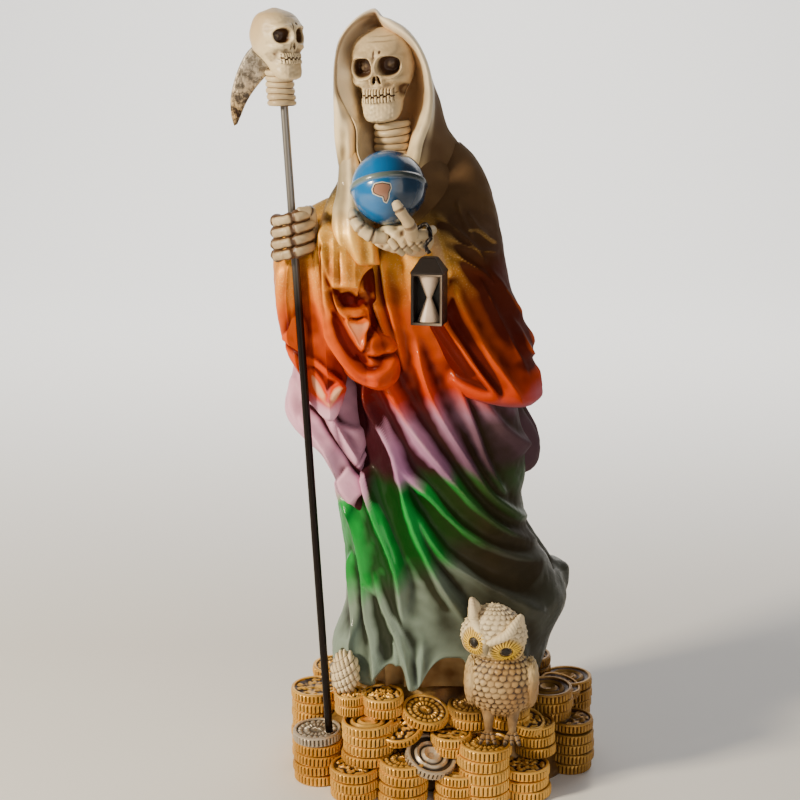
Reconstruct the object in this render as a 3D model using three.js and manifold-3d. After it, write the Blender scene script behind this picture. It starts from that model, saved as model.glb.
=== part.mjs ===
// A cast statuette: a hooded skeleton in a draped robe on a mound of coins, with a scythe, a globe,
// a hanging hourglass lantern and an owl.
// Millimetres, +Z up, front towards -Y, origin in the middle of the underside of the coins.

import * as THREE from 'three';
import { mergeVertices } from 'three/addons/utils/BufferGeometryUtils.js';
import Module from 'manifold-3d';

const wasm = await Module();
wasm.setup();

// Driving sizes of the whole figure
const figureHeight = 300;
const gap = 0.3;

// Driving sizes of the coins
const moundHalfWidth = 49;
const moundHalfDepth = 36;
const moundHeight = 38;
const coinRadius = 10;
const coinThickness = 4.3;
const coinGroove = 0.8;

// Driving sizes of the rod and what sits on it
const rodRadius = 1.5;
const rodClearance = 0.3;
const rodBelowTop = 24;
const rodLean = { x: -15.3, y: 13.6 };
const socketDepth = 11;
const scytheNeckRadius = 5.5;
const scytheNeckLength = 13;
const scytheSkullHeight = 25.5;
const bladeReach = 20.2;
const bladeDrop = 29.6;
const bladeThickness = 2;

// Driving sizes of the globe
const globeRadius = 13.6;
const globeBandWidth = 2.2;
const globeBandHeight = 0.7;

// Driving sizes of the lantern and its wire
const lanternWidth = 11.4;
const lanternDepth = 10;
const lanternHeight = 19;
const lanternRoofHeight = 5.4;
const lanternWall = 1.4;
const lanternBack = 3;
const hourglassClearance = 0.4;
const hourglassNeck = 0.8;
const wireRadius = 0.85;
const wireDrop = 11;

// Driving sizes of the owl, which stands off the middle of its coin by a share of the coin's radius
const owlHeight = 57;
const owlAside = 0.44;
const owlClearance = 1.8;

// The figure's free forms are drawn 300 high on a mound of 38, and follow the real height and mound
const drawnHeight = 300;
const drawnMound = 38;
const unit = (figureHeight - moundHeight) / (drawnHeight - drawnMound);

// The real place of a drawn point
function placed(x, y, z) {
  return new THREE.Vector3(x * unit, y * unit, moundHeight + (z - drawnMound) * unit);
}

// Brings a geometry in drawn measures to its real size and place
function inPlace(geometry) {
  geometry.translate(0, 0, -drawnMound);
  geometry.scale(unit, unit, unit);
  geometry.translate(0, 0, moundHeight);
  return geometry;
}

const paint = {
  coins: { color: 0xb98a35, roughness: 0.42, metalness: 0.75 },
  robe: { color: 0xc25a28, roughness: 0.3, metalness: 0.05 },
  globe: { color: 0x1c7fc0, roughness: 0.18, metalness: 0 },
  owl: { color: 0xcdbf9d, roughness: 0.7, metalness: 0 },
  rod: { color: 0x4a4440, roughness: 0.35, metalness: 0.8 },
  bone: { color: 0xe6dcbb, roughness: 0.6, metalness: 0 },
  lantern: { color: 0x2a1c14, roughness: 0.4, metalness: 0.1 },
  wire: { color: 0x1b1613, roughness: 0.45, metalness: 0.6 },
};

// Helpers for closed skins and joins

// A smooth cubic through pairs of place and value
function track(pairs) {
  const slope = pairs.map((pair, i) => {
    const before = pairs[Math.max(i - 1, 0)];
    const after = pairs[Math.min(i + 1, pairs.length - 1)];
    return (after[1] - before[1]) / (after[0] - before[0]);
  });
  return function valueAt(place) {
    if (place <= pairs[0][0]) return pairs[0][1];
    const last = pairs.length - 1;
    if (place >= pairs[last][0]) return pairs[last][1];
    const i = pairs.findIndex((pair) => pair[0] > place) - 1;
    const span = pairs[i + 1][0] - pairs[i][0];
    const t = (place - pairs[i][0]) / span;
    const rise = pairs[i + 1][1] - pairs[i][1];
    const ease = t * t * (3 - 2 * t);
    const leave = t * (1 - t) * (1 - t) * slope[i] * span;
    const arrive = t * t * (1 - t) * slope[i + 1] * span;
    return pairs[i][1] + rise * ease + leave - arrive;
  };
}

function smoothStep(from, to, value) {
  const t = Math.min(Math.max((value - from) / (to - from), 0), 1);
  return t * t * (3 - 2 * t);
}

// A closed skin: rows of points round a form, with a fan over the first and the last row
function skin(rows) {
  const columns = rows[0].length;
  const points = rows.flat();
  const middles = [rows[0], rows[rows.length - 1]].map((row) => {
    const sum = row.reduce((total, point) => total.add(point), new THREE.Vector3());
    return sum.divideScalar(columns);
  });
  const low = points.length;
  const high = low + 1;
  points.push(...middles);
  const index = [];
  for (let row = 0; row < rows.length - 1; row += 1) {
    for (let column = 0; column < columns; column += 1) {
      const next = (column + 1) % columns;
      const a = row * columns + column;
      const b = row * columns + next;
      const c = b + columns;
      const d = a + columns;
      index.push(a, b, c, a, c, d);
    }
  }
  const top = (rows.length - 1) * columns;
  for (let column = 0; column < columns; column += 1) {
    const next = (column + 1) % columns;
    index.push(low, next, column);
    index.push(high, top + column, top + next);
  }
  const geometry = new THREE.BufferGeometry();
  const flat = points.flatMap((point) => point.toArray());
  geometry.setAttribute('position', new THREE.Float32BufferAttribute(flat, 3));
  geometry.setIndex(volume(points, index) < 0 ? turned(index) : index);
  return geometry;
}

function volume(points, index) {
  let sum = 0;
  for (let i = 0; i < index.length; i += 3) {
    const cross = points[index[i + 1]].clone().cross(points[index[i + 2]]);
    sum += points[index[i]].dot(cross) / 6;
  }
  return sum;
}

function turned(index) {
  const result = [];
  for (let i = 0; i < index.length; i += 3) {
    result.push(index[i], index[i + 2], index[i + 1]);
  }
  return result;
}

function solid(geometry) {
  const plain = geometry.clone();
  plain.deleteAttribute('normal');
  plain.deleteAttribute('uv');
  const merged = mergeVertices(plain, 1e-4);
  const mesh = new wasm.Mesh({
    numProp: 3,
    vertProperties: new Float32Array(merged.attributes.position.array),
    triVerts: new Uint32Array(merged.index.array),
  });
  return new wasm.Manifold(mesh);
}

function joined(geometries) {
  return geometries.map(solid).reduce((whole, piece) => whole.add(piece));
}

function cut(whole, geometries) {
  return geometries.map(solid).reduce((rest, tool) => rest.subtract(tool), whole);
}

// The triangles of each closed shell of a mesh
function shells(index, count) {
  const parent = Array.from({ length: count }, (_, i) => i);
  const root = (i) => {
    let at = i;
    while (parent[at] !== at) {
      parent[at] = parent[parent[at]];
      at = parent[at];
    }
    return at;
  };
  for (let i = 0; i < index.length; i += 3) {
    parent[root(index[i + 1])] = root(index[i]);
    parent[root(index[i + 2])] = root(index[i]);
  }
  const groups = new Map();
  for (let i = 0; i < index.length; i += 3) {
    const key = root(index[i]);
    if (!groups.has(key)) groups.set(key, []);
    groups.get(key).push(index[i], index[i + 1], index[i + 2]);
  }
  return [...groups.values()];
}

// Joins leave slivers: a short edge is drawn together where that keeps the skin closed and its shape
const longestSliver = 3;
const sliverDrift = 0.1;

function facePlane(points, face) {
  const [a, b, c] = face.map((i) => points[i]);
  return new THREE.Plane().setFromCoplanarPoints(a, b, c);
}

function withoutSlivers(points, faces) {
  const facesAt = new Map(points.map((_, i) => [i, new Set()]));
  faces.forEach((face, i) => face.forEach((corner) => facesAt.get(corner).add(i)));

  function neighbours(corner) {
    const around = [...facesAt.get(corner)].flatMap((i) => faces[i]);
    return new Set(around.filter((other) => other !== corner));
  }

  function drawTogether(kept, gone) {
    const shared = [...neighbours(kept)].filter((corner) => neighbours(gone).has(corner));
    const dropped = [...facesAt.get(gone)].filter((i) => faces[i].includes(kept));
    if (shared.length !== 2 || dropped.length !== 2) return false;
    const moved = [...facesAt.get(gone)].filter((i) => !faces[i].includes(kept));
    const fits = moved.every((i) => {
      const before = facePlane(points, faces[i]);
      const after = facePlane(points, faces[i].map((corner) => (corner === gone ? kept : corner)));
      const drift = Math.abs(before.distanceToPoint(points[kept]));
      return drift < sliverDrift && before.normal.dot(after.normal) > 0.7;
    });
    if (!fits) return false;
    moved.forEach((i) => {
      faces[i] = faces[i].map((corner) => (corner === gone ? kept : corner));
      facesAt.get(kept).add(i);
    });
    dropped.forEach((i) => {
      faces[i].forEach((corner) => facesAt.get(corner).delete(i));
      faces[i] = null;
    });
    facesAt.delete(gone);
    return true;
  }

  const edges = faces.flatMap((face) => face.map((corner, k) => {
    const next = face[(k + 1) % 3];
    return { a: corner, b: next, length: points[corner].distanceTo(points[next]) };
  }));
  const short = edges.filter((edge) => edge.length < longestSliver);
  short.sort((one, other) => one.length - other.length);
  short.forEach(({ a, b }) => {
    if (facesAt.has(a) && facesAt.has(b) && neighbours(a).has(b)) drawTogether(a, b);
  });
  return faces.filter((face) => face !== null);
}

// A cast piece has no hollows shut inside it, so shells that face inwards are filled
function surface(manifold) {
  const mesh = manifold.getMesh();
  const flat = mesh.vertProperties;
  const count = flat.length / 3;
  const points = Array.from({ length: count }, (_, i) => new THREE.Vector3().fromArray(flat, i * 3));
  const all = shells(Array.from(mesh.triVerts), points.length);
  const outer = all.filter((shell) => volume(points, shell) > 0).flat();
  const faces = Array.from({ length: outer.length / 3 }, (_, i) => outer.slice(i * 3, i * 3 + 3));
  const geometry = new THREE.BufferGeometry();
  geometry.setAttribute('position', new THREE.Float32BufferAttribute(flat, 3));
  geometry.setIndex(withoutSlivers(points, faces).flat());
  geometry.computeVertexNormals();
  return geometry;
}

function named(name, geometry, finish) {
  const mesh = new THREE.Mesh(geometry, new THREE.MeshStandardMaterial(finish));
  mesh.name = name;
  return mesh;
}

// Angles round a form, closer together at the front
function anglesRound(count, crowding) {
  return Array.from({ length: count }, (_, i) => {
    const share = i / count - 0.5;
    return -Math.PI / 2 + 2 * Math.PI * share - crowding * Math.sin(2 * Math.PI * share);
  });
}

// A flattened round of its own left, right, front and back, squarer as the power falls below one
function roundPoint(angle, box, power) {
  const side = Math.cos(angle);
  const depth = Math.sin(angle);
  const middle = (box.left + box.right) / 2;
  const half = (box.right - box.left) / 2;
  const waist = box.waist ?? (box.front + box.back) / 2;
  const reach = depth < 0 ? waist - box.front : box.back - waist;
  return {
    x: middle + half * Math.sign(side) * Math.abs(side) ** power,
    y: waist + reach * Math.sign(depth) * Math.abs(depth) ** power,
  };
}

// A fold: a ridge along a bent line in the front view, with its half width and height
function fold(start, bend, end, width, height) {
  const curve = new THREE.QuadraticBezierCurve(
    new THREE.Vector2(...start),
    new THREE.Vector2(...bend),
    new THREE.Vector2(...end),
  );
  return { points: curve.getPoints(9), width, height };
}

function foldHeight(folds, x, z) {
  const here = new THREE.Vector2(x, z);
  return folds.reduce((total, one) => {
    const steps = one.points.length - 1;
    let nearest = Infinity;
    let along = 0;
    for (let i = 0; i < steps; i += 1) {
      const step = one.points[i + 1].clone().sub(one.points[i]);
      const share = here.clone().sub(one.points[i]).dot(step) / step.lengthSq();
      const held = Math.min(Math.max(share, 0), 1);
      const distance = one.points[i].clone().addScaledVector(step, held).distanceTo(here);
      if (distance < nearest) {
        nearest = distance;
        along = (i + held) / steps;
      }
    }
    const taper = smoothStep(-0.1, 0.2, along) * smoothStep(1.15, 0.8, along);
    return total + one.height * taper * Math.exp(-((nearest / one.width) ** 1.6));
  }, 0);
}

// A draped form as a stack of level rounds: each row gives height, left, right, front and back
function drape(form) {
  const { rows, columns, steps, power = 0.9, crowding = 0.3 } = form;
  const { folds = [], rim = 0, pocket = 0, pleats = 0 } = form;
  const [left, right, front, back] = [1, 2, 3, 4].map((k) => track(rows.map((row) => [row[0], row[k]])));
  const bottom = rows[0][0];
  const top = rows[rows.length - 1][0];
  const angles = anglesRound(columns, crowding);
  const ringAt = (height, inset) => angles.map((angle) => {
    const box = { left: left(height), right: right(height), front: front(height), back: back(height) };
    const point = roundPoint(angle, box, power);
    const facing = smoothStep(0.35, -0.25, Math.sin(angle));
    const hang = smoothStep(top, bottom, height);
    const pleat = pleats * hang * (1 - facing) * Math.cos(8 * angle + height / 40);
    const lift = foldHeight(folds, point.x, height) * facing + pleat - inset;
    const outward = new THREE.Vector2(Math.cos(angle), Math.sin(angle));
    return new THREE.Vector3(point.x + outward.x * lift, point.y + outward.y * lift, height);
  });
  const rings = [];
  if (pocket > 0) {
    rings.push(ringAt(bottom, rim * 1.6).map((point) => point.setZ(bottom + pocket)));
    rings.push(ringAt(bottom, rim));
  }
  for (let step = 0; step <= steps; step += 1) {
    const share = step / steps;
    rings.push(ringAt(bottom + (top - bottom) * share, 0));
  }
  return inPlace(skin(rings));
}

// A limb: rounds along a bent line through a few points, with a radius at each of them
function limb(points, radii, sides, steps) {
  const curve = new THREE.CatmullRomCurve3(points.map((p) => new THREE.Vector3(...p)));
  const radius = track(radii.map((value, i) => [i / (radii.length - 1), value]));
  const frames = curve.computeFrenetFrames(steps);
  const rings = [];
  for (let step = 0; step <= steps; step += 1) {
    const share = step / steps;
    const middle = curve.getPoint(share);
    const ring = [];
    for (let side = 0; side < sides; side += 1) {
      const angle = (2 * Math.PI * side) / sides;
      const point = middle.clone();
      point.addScaledVector(frames.normals[step], radius(share) * Math.cos(angle));
      point.addScaledVector(frames.binormals[step], radius(share) * Math.sin(angle));
      ring.push(point);
    }
    rings.push(ring);
  }
  return skin(rings);
}

function ball(x, y, z, rx, ry, rz, sides = 12, rows = 8) {
  const geometry = new THREE.SphereGeometry(1, sides, rows);
  geometry.scale(rx, ry, rz);
  geometry.translate(x, y, z);
  return geometry;
}

// A pile of coins that stands on the ground, at shares of the mound's half width and half depth
function standing(across, deep, coins, size, coinsToLayer = 1, sides = 8) {
  const x = across * moundHalfWidth;
  const y = deep * moundHalfDepth;
  return { x, y, z: 0, coins, size, coinsToLayer, sides, tiltX: 0, tiltY: 0 };
}

// The top coins of a pile whose foot is buried: the pile is so many coins high, and some of them show
function buried(across, deep, coins, shown, size, coinsToLayer = 1, sides = 8) {
  const pile = standing(across, deep, shown, size, coinsToLayer, sides);
  return { ...pile, z: (coins - shown) * coinThickness };
}

// A coin that leans on what is below it: its lower face's middle, also as a share of the mound's
// height, and its two tilts in degrees
function leaning(across, deep, high, size, tiltX, tiltY) {
  const pile = standing(across, deep, 1, size);
  return { ...pile, z: high * moundHeight, tiltX, tiltY };
}

const rodPile = standing(-1.04, -0.735, 5, 0.98);
const footPile = buried(-0.767, -0.833, Math.ceil(moundHeight / coinThickness), 2, 0.65);

// The owl's pile stands so far forward that the owl's back clears the hem of the robe
const robeHemDepth = 34;
const drawnOwl = { height: 57, halfDepth: 9.2 };
const owlSize = owlHeight / drawnOwl.height;
const owlForward = robeHemDepth * unit + drawnOwl.halfDepth * owlSize + owlClearance;
const owlPile = { ...standing(0.296, 0, 5, 1.05), y: -owlForward };

// The rod leans from its foot, near the edge of the top coin of its pile, to near the figure's top
const rodFootHeight = rodPile.coins * coinThickness + 2 * gap;
const rodTop = figureHeight - rodBelowTop * unit;
const rodAxis = new THREE.Vector3(rodLean.x * unit, rodLean.y * unit, rodTop - rodFootHeight);
const rodDirection = rodAxis.clone().normalize();
const rodStart = new THREE.Vector3(rodPile.x + coinRadius / 2, rodPile.y - coinRadius / 2, rodFootHeight);

function onRod(height) {
  return rodStart.clone().addScaledVector(rodDirection, (height - rodFootHeight) / rodDirection.z);
}

function turnedOntoRod(geometry, height) {
  const turn = new THREE.Quaternion().setFromUnitVectors(new THREE.Vector3(0, 0, 1), rodDirection);
  geometry.applyQuaternion(turn);
  geometry.translate(...onRod(height).toArray());
  return geometry;
}

function rodCylinder(radius, low, high, sides) {
  const geometry = new THREE.CylinderGeometry(radius, radius, high - low, sides);
  geometry.rotateX(Math.PI / 2);
  geometry.translate(0, 0, (high - low) / 2);
  return turnedOntoRod(geometry, low);
}

// The coins

// One pile of coins: a round profile that is drawn in at each joint between two coins
function coinPile(pile) {
  const profile = [new THREE.Vector2(0, 0)];
  const radius = coinRadius * pile.size;
  const layers = Math.ceil(pile.coins / pile.coinsToLayer);
  const layer = (pile.coins * coinThickness) / layers;
  for (let i = 0; i < layers; i += 1) {
    profile.push(new THREE.Vector2(radius - coinGroove, i * layer));
    profile.push(new THREE.Vector2(radius, (i + 0.5) * layer));
  }
  const height = pile.coins * coinThickness;
  profile.push(new THREE.Vector2(radius - coinGroove, height));
  profile.push(new THREE.Vector2(0, height));
  const geometry = new THREE.LatheGeometry(profile, pile.sides);
  geometry.rotateX(Math.PI / 2);
  geometry.rotateX(THREE.MathUtils.degToRad(pile.tiltX));
  geometry.rotateY(THREE.MathUtils.degToRad(pile.tiltY));
  geometry.translate(pile.x, pile.y, pile.z);
  return geometry;
}

const frontPiles = [
  rodPile,
  footPile,
  owlPile,
  standing(-1.08, -0.14, 7, 1),
  buried(-0.622, -1.014, 7, 4, 1.03),
  standing(-0.735, -1.139, 3, 0.98),
  standing(-0.337, -1.208, 4, 1),
  buried(0.051, -1.069, 6, 2, 0.82),
  standing(0.082, -1.264, 3, 0.85),
  standing(0.633, -1.083, 3, 1),
  buried(0.724, -0.819, 6, 3, 0.85),
  standing(1.041, -0.444, 5, 0.95),
  standing(1.051, 0.167, 7, 1.05),
  buried(-0.5, -0.86, 9, 2, 0.85),
  buried(0.2, -0.86, 8, 2, 0.95),
  buried(0.5, -0.86, 8, 2, 0.9),
  buried(0.86, -0.4, 8, 3, 1),
];

const leaningCoins = [
  leaning(-0.367, -1, 0.645, 0.95, 24, -6),
  leaning(-0.173, -0.917, 0.763, 0.95, 14, 10),
  leaning(-0.133, -1.194, 0.408, 1.02, 24, 14),
];

// Piles behind follow the mound's edge and step up and down, with a ring of higher ones inside it
function ringOfPiles(first, last, count, spread, lowest) {
  return Array.from({ length: count }, (_, i) => {
    const angle = THREE.MathUtils.degToRad(first + ((last - first) * i) / (count - 1));
    const coins = lowest + ((i * 3) % 4) - (i % 2);
    return { across: spread * Math.cos(angle), deep: spread * Math.sin(angle), coins };
  });
}

const backPiles = ringOfPiles(30, 152, 6, 1.02, 5).map((spot) => (
  standing(spot.across, spot.deep, spot.coins, 1.1, 2)
));
const upperPiles = ringOfPiles(-12, 196, 8, 0.76, 7).map((spot) => (
  buried(spot.across, spot.deep, spot.coins, 2, 1, 2)
));

const allPiles = [...frontPiles, ...leaningCoins, ...backPiles, ...upperPiles];

function coinHeap() {
  return joined([mound(), ...allPiles.map(coinPile)]);
}

// Plain rounds a gap larger than the piles that reach the hem, to be cut out of it
function pilesAtHem() {
  const high = allPiles.filter((pile) => pile.z + pile.coins * coinThickness > moundHeight - gap);
  return high.map((pile) => {
    const radius = coinRadius * pile.size + gap;
    const height = pile.coins * coinThickness + gap;
    const geometry = new THREE.CylinderGeometry(radius, radius, height, pile.sides);
    geometry.rotateX(Math.PI / 2);
    geometry.translate(pile.x, pile.y, pile.z + height / 2);
    return geometry;
  });
}

// The heap under the piles, a squarish round that narrows upwards
function mound() {
  const levels = [
    [0, 1.1],
    [0.5, 0.98],
    [0.85, 0.78],
    [1, 0.66],
  ];
  const rows = levels.map(([share, spread]) => anglesRound(12, 0).map((angle) => {
    const halfWidth = moundHalfWidth * spread;
    const halfDepth = moundHalfDepth * spread;
    const box = { left: -halfWidth, right: halfWidth, front: -halfDepth, back: halfDepth };
    const point = roundPoint(angle, box, 0.8);
    return new THREE.Vector3(point.x, point.y, share * moundHeight);
  }));
  return skin(rows);
}

// The robe

const hemHeight = drawnMound + 1.7;

// The hem is lifted in two arches at the front and over the foot, and waves gently behind
function hemLift(x, y) {
  const arch = (middle, half, height) => height * Math.exp(-(((x - middle) / half) ** 4));
  const front = arch(-21, 6, 11) + arch(-0.5, 9, 14.5) + 13 * smoothStep(-33, -43, x);
  const behind = 2 + 2 * Math.cos(x / 6);
  return front * smoothStep(-6, -18, y) + behind * smoothStep(-6, 6, y);
}

const robeRows = [
  [38, -43, 46, -robeHemDepth, 33],
  [52, -42.5, 49, -robeHemDepth, 33],
  [66, -40.5, 50, -33, 32],
  [82, -39.5, 43, -31, 30],
  [96, -41.5, 33.5, -29, 28],
  [108, -42, 30.5, -28, 27],
  [122, -41, 32, -27, 26],
  [150, -38, 28, -26, 25],
  [180, -38, 24, -25, 24],
  [205, -38, 18, -22, 23],
  [222, -38, 13, -18, 20],
  [236, -36, 7, -15, 17],
  [246, -31, -2, -12, 12],
];

const robeFolds = [
  fold([-27.6, 164], [-15, 112], [9, 62], 4.4, 7),
  fold([-19.5, 162], [4, 122], [46, 84], 4.4, 7),
  fold([-15, 128], [6, 94], [50, 70], 4.2, 6),
  fold([-5, 158], [14, 120], [46, 94], 4, 6),
  fold([6, 156], [10, 138], [20, 120], 3.4, 4.4),
  fold([-28, 124], [-19, 98], [-15, 58], 4, 6),
  fold([-40, 124], [-37, 100], [-31, 74], 3.6, 4.4),
  fold([-34, 84], [-30, 62], [-28, 42], 3.6, 5),
  fold([-21, 72], [-17, 58], [-12, 40], 3.8, 6),
  fold([10, 66], [13, 54], [12, 42], 4, 2.4),
  fold([-27, 216], [-24, 186], [-15, 156], 3.8, 4.6),
  fold([-34, 214], [-30, 188], [-26, 160], 3.4, 3.6),
];

function robe() {
  const [left, right, front, back] = [1, 2, 3, 4].map((k) => track(robeRows.map((row) => [row[0], row[k]])));
  const top = robeRows[robeRows.length - 1][0];
  const angles = anglesRound(28, 0.5);
  const train = track([[44, 0], [56, 3.5], [72, 7.5], [78, 2], [88, 0]]);
  const pointAt = (angle, height) => {
    const box = { left: left(height), right: right(height), front: front(height), back: back(height) };
    return roundPoint(angle, box, 0.92);
  };
  const ringAt = (share, inset, drop) => angles.map((angle) => {
    const foot = pointAt(angle, hemHeight);
    const low = hemHeight + hemLift(foot.x, foot.y);
    const height = low + (top - low) * share;
    const point = pointAt(angle, height);
    const facing = smoothStep(0.3, -0.25, Math.sin(angle));
    const behind = 2 * (1 - facing) * Math.cos(9 * angle + height / 26) * smoothStep(160, 90, height);
    const flare = train(height) * Math.exp(-(((angle - 0.12) / 0.42) ** 2));
    const lift = foldHeight(robeFolds, point.x, height) * facing + behind + flare - inset;
    const level = drop === null ? height : drop;
    return new THREE.Vector3(point.x + Math.cos(angle) * lift, point.y + Math.sin(angle) * lift, level);
  });
  const shares = [0, 0.045, 0.1, 0.16, 0.225, 0.29, 0.36, 0.44, 0.53, 0.72, 1];
  const underside = drawnMound + gap / unit;
  const rings = [
    ringAt(0, 9, underside),
    ringAt(0, 7, underside + 3),
    ringAt(0, 2, null),
    ...shares.map((share) => ringAt(share, 0, null)),
  ];
  return inPlace(skin(rings));
}

const frontDrape = {
  rows: [
    [160.5, -29, -22, -32, -14],
    [164, -37, -19.6, -34, -12],
    [170, -40.5, -19, -35, -10],
    [178, -45, -22, -35, -8],
    [190, -49.2, -29, -34, -8],
    [205, -50.2, -30, -31, -6],
    [216, -49.6, -32, -26, -4],
    [228, -46, -34, -18, -2],
    [237, -41, -35, -10, -2],
  ],
  columns: 11,
  steps: 8,
  folds: [
    fold([-42, 226], [-48, 205], [-44, 180], 2, 2.4),
    fold([-40, 222], [-43, 205], [-36, 172], 2.2, 2.6),
    fold([-38, 217], [-36, 205], [-38, 192], 2, 2.2),
  ],
  rim: 2,
  pocket: 4,
};

const rightSleeve = {
  rows: [
    [146, -46, -43, -22, -14],
    [150, -49, -41, -25, -9],
    [155, -52.5, -40, -26, -6],
    [163, -56.5, -38, -27, -2],
    [174, -61, -37, -26, 2],
    [184, -63.5, -36, -25, 5],
    [194, -65.5, -36, -24, 7],
    [206, -66.5, -36, -21, 8],
    [216, -65, -34, -15, 8],
    [223, -58, -32, -9, 6],
    [229, -46, -30, -4, 4],
  ],
  columns: 11,
  steps: 8,
  folds: [
    fold([-49, 206], [-48, 186], [-42, 172], 2, 2.4),
    fold([-60, 205], [-62, 185], [-52, 163], 2.4, 2.6),
  ],
  rim: 2,
  pocket: 4,
};

const capeTail = {
  rows: [
    [108, -34, -30, -19, -10],
    [114, -40, -29, -21, -4],
    [121, -43, -30, -21, 0],
    [130, -48.5, -29.5, -20, 3],
    [136, -56, -29.5, -18, 5],
    [142, -61.5, -30, -16, 6],
    [148, -63.4, -31, -14, 7],
    [158, -61, -33, -12, 8],
    [172, -58, -36, -8, 8],
    [186, -54, -38, -4, 6],
  ],
  columns: 9,
  steps: 6,
  folds: [
    fold([-52, 148], [-44, 134], [-34, 120], 2, 2.6),
    fold([-58, 150], [-50, 138], [-42, 128], 2, 2.2),
  ],
};

const leftSleeve = {
  rows: [
    [153.5, 17, 33, -30, -12],
    [156, 7, 36.3, -34, -4],
    [159, 2, 36.5, -35, 2],
    [164, -3, 36, -35, 8],
    [170, -7, 33, -35, 12],
    [176, -11, 34, -34, 15],
    [184, -15, 28, -33, 17],
    [194, -18.5, 25, -32, 18],
    [205, -21, 21, -31, 18],
    [214, -22, 19, -28, 17],
    [224, -16, 16.5, -20, 15],
    [234, -8, 13, -13, 12],
    [241, -2, 9, -8, 9],
  ],
  columns: 14,
  steps: 8,
  folds: [
    fold([-1, 190], [9, 174], [19, 156], 2.4, 2.8),
    fold([7, 190], [15, 176], [27, 156], 2.6, 3),
    fold([-15, 206], [-14, 188], [-6, 170], 2.2, 2.4),
    fold([2, 226], [12, 218], [20, 205], 2, 2),
  ],
  rim: 2.2,
  pocket: 5,
};

const backCape = {
  rows: [
    [114, -34, 29, 4, 27],
    [118, -39, 37, 0, 31],
    [126, -41, 39.5, -2, 31],
    [134, -41, 37.5, -2, 30.5],
    [146, -40, 31, -2, 29.5],
    [180, -41, 28, -2, 28],
    [205, -42, 20, -2, 25],
    [225, -42, 15, -2, 21.5],
    [244, -38, 6, -2, 15],
  ],
  columns: 14,
  steps: 5,
  crowding: -0.4,
  pleats: 2.4,
};

const hoodOuter = {
  rows: [
    [222, -40, 6, -13, 20],
    [236, -41.6, 10, -16, 19],
    [244, -41.2, 7, -17, 18],
    [252, -41.5, 1, -18, 17],
    [262, -43, -1.6, -19, 17],
    [273, -42.9, -4.6, -19, 16],
    [284, -41.7, -10, -18, 13],
    [291, -38, -14.8, -16, 9],
    [295.5, -33.8, -20, -13, 4],
    [298.5, -30.5, -24.5, -10, 0],
    [300, -29, -26.4, -8, -4],
  ],
  columns: 13,
  steps: 8,
  power: 0.95,
  crowding: 0.2,
};

const hoodHollow = {
  rows: [
    [243, -34, -10, -34, 2],
    [248, -37, -9, -34, 5],
    [262, -40, -7.6, -34, 9],
    [273, -39.6, -8.4, -34, 9],
    [284, -37.6, -13, -34, 7],
    [290, -34, -18, -34, 3],
    [294.5, -30, -24, -34, -2],
  ],
  columns: 10,
  steps: 5,
  crowding: 0,
};

// The bones

// A skull in its own frame: face towards -Y, origin between the ears, drawn one high from chin to crown
function skull(size, hollowCheeks) {
  const rows = [
    [-0.5, 0.13, -0.34, -0.2],
    [-0.46, 0.2, -0.41, -0.12],
    [-0.38, 0.25, -0.42, -0.02],
    [-0.27, 0.25, -0.42, 0.08],
    [-0.19, 0.3, -0.4, 0.22],
    [-0.1, 0.33, -0.37, 0.34],
    [0.03, 0.33, -0.38, 0.4],
    [0.15, 0.335, -0.4, 0.42],
    [0.3, 0.3, -0.33, 0.36],
    [0.42, 0.21, -0.2, 0.25],
    [0.5, 0.08, -0.04, 0.12],
  ];
  const angles = anglesRound(10, 0.2);
  const rings = rows.map(([height, half, front, back]) => angles.map((angle) => {
    const point = roundPoint(angle, { left: -half, right: half, front, back }, 0.85);
    return new THREE.Vector3(point.x, point.y, height);
  }));
  const holes = [
    ball(-0.15, -0.42, 0.06, 0.11, 0.16, 0.105, 8, 5),
    ball(0.15, -0.42, 0.06, 0.11, 0.16, 0.105, 8, 5),
    ball(0, -0.44, -0.11, 0.055, 0.1, 0.075, 5, 4),
  ];
  const cheeks = [-0.34, 0.34].map((side) => ball(side, -0.2, -0.3, 0.13, 0.14, 0.09, 6, 4));
  const [bone, ...hollows] = [skin(rings), ...holes, ...(hollowCheeks ? cheeks : [])];
  [bone, ...hollows].forEach((geometry) => geometry.scale(size, size, size));
  return surface(cut(solid(bone), hollows));
}

// A ringed neck that stands upright on its lower end
function ringedNeck(radius, length, rings, sides) {
  const profile = [new THREE.Vector2(0, 0)];
  for (let ring = 0; ring < rings; ring += 1) {
    const low = (length * ring) / rings;
    profile.push(new THREE.Vector2(radius * 0.9, low));
    profile.push(new THREE.Vector2(radius, low + (length / rings) * 0.5));
  }
  profile.push(new THREE.Vector2(radius * 0.9, length));
  profile.push(new THREE.Vector2(0, length));
  const geometry = new THREE.LatheGeometry(profile, sides);
  geometry.rotateX(Math.PI / 2);
  return geometry;
}

const headSize = 33;
const headTurn = { yaw: -10, pitch: 7, roll: 5 };

function head() {
  const geometry = skull(headSize, true);
  geometry.rotateY(THREE.MathUtils.degToRad(-headTurn.roll));
  geometry.rotateX(THREE.MathUtils.degToRad(headTurn.pitch));
  geometry.rotateZ(THREE.MathUtils.degToRad(headTurn.yaw));
  geometry.translate(-25.4, -7, 275.6);
  return inPlace(geometry);
}

function neck() {
  const geometry = ringedNeck(7.3, 22, 6, 8);
  geometry.translate(-21.2, -8, 241);
  return inPlace(geometry);
}

const globeCentre = placed(-22.1, -32, 236);

// A place near the globe, in globe radii from its centre
function nearGlobe(x, y, z) {
  return globeCentre.clone().add(new THREE.Vector3(x, y, z).multiplyScalar(globeRadius)).toArray();
}

const inUnits = (radii) => radii.map((radius) => radius * unit);

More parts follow.
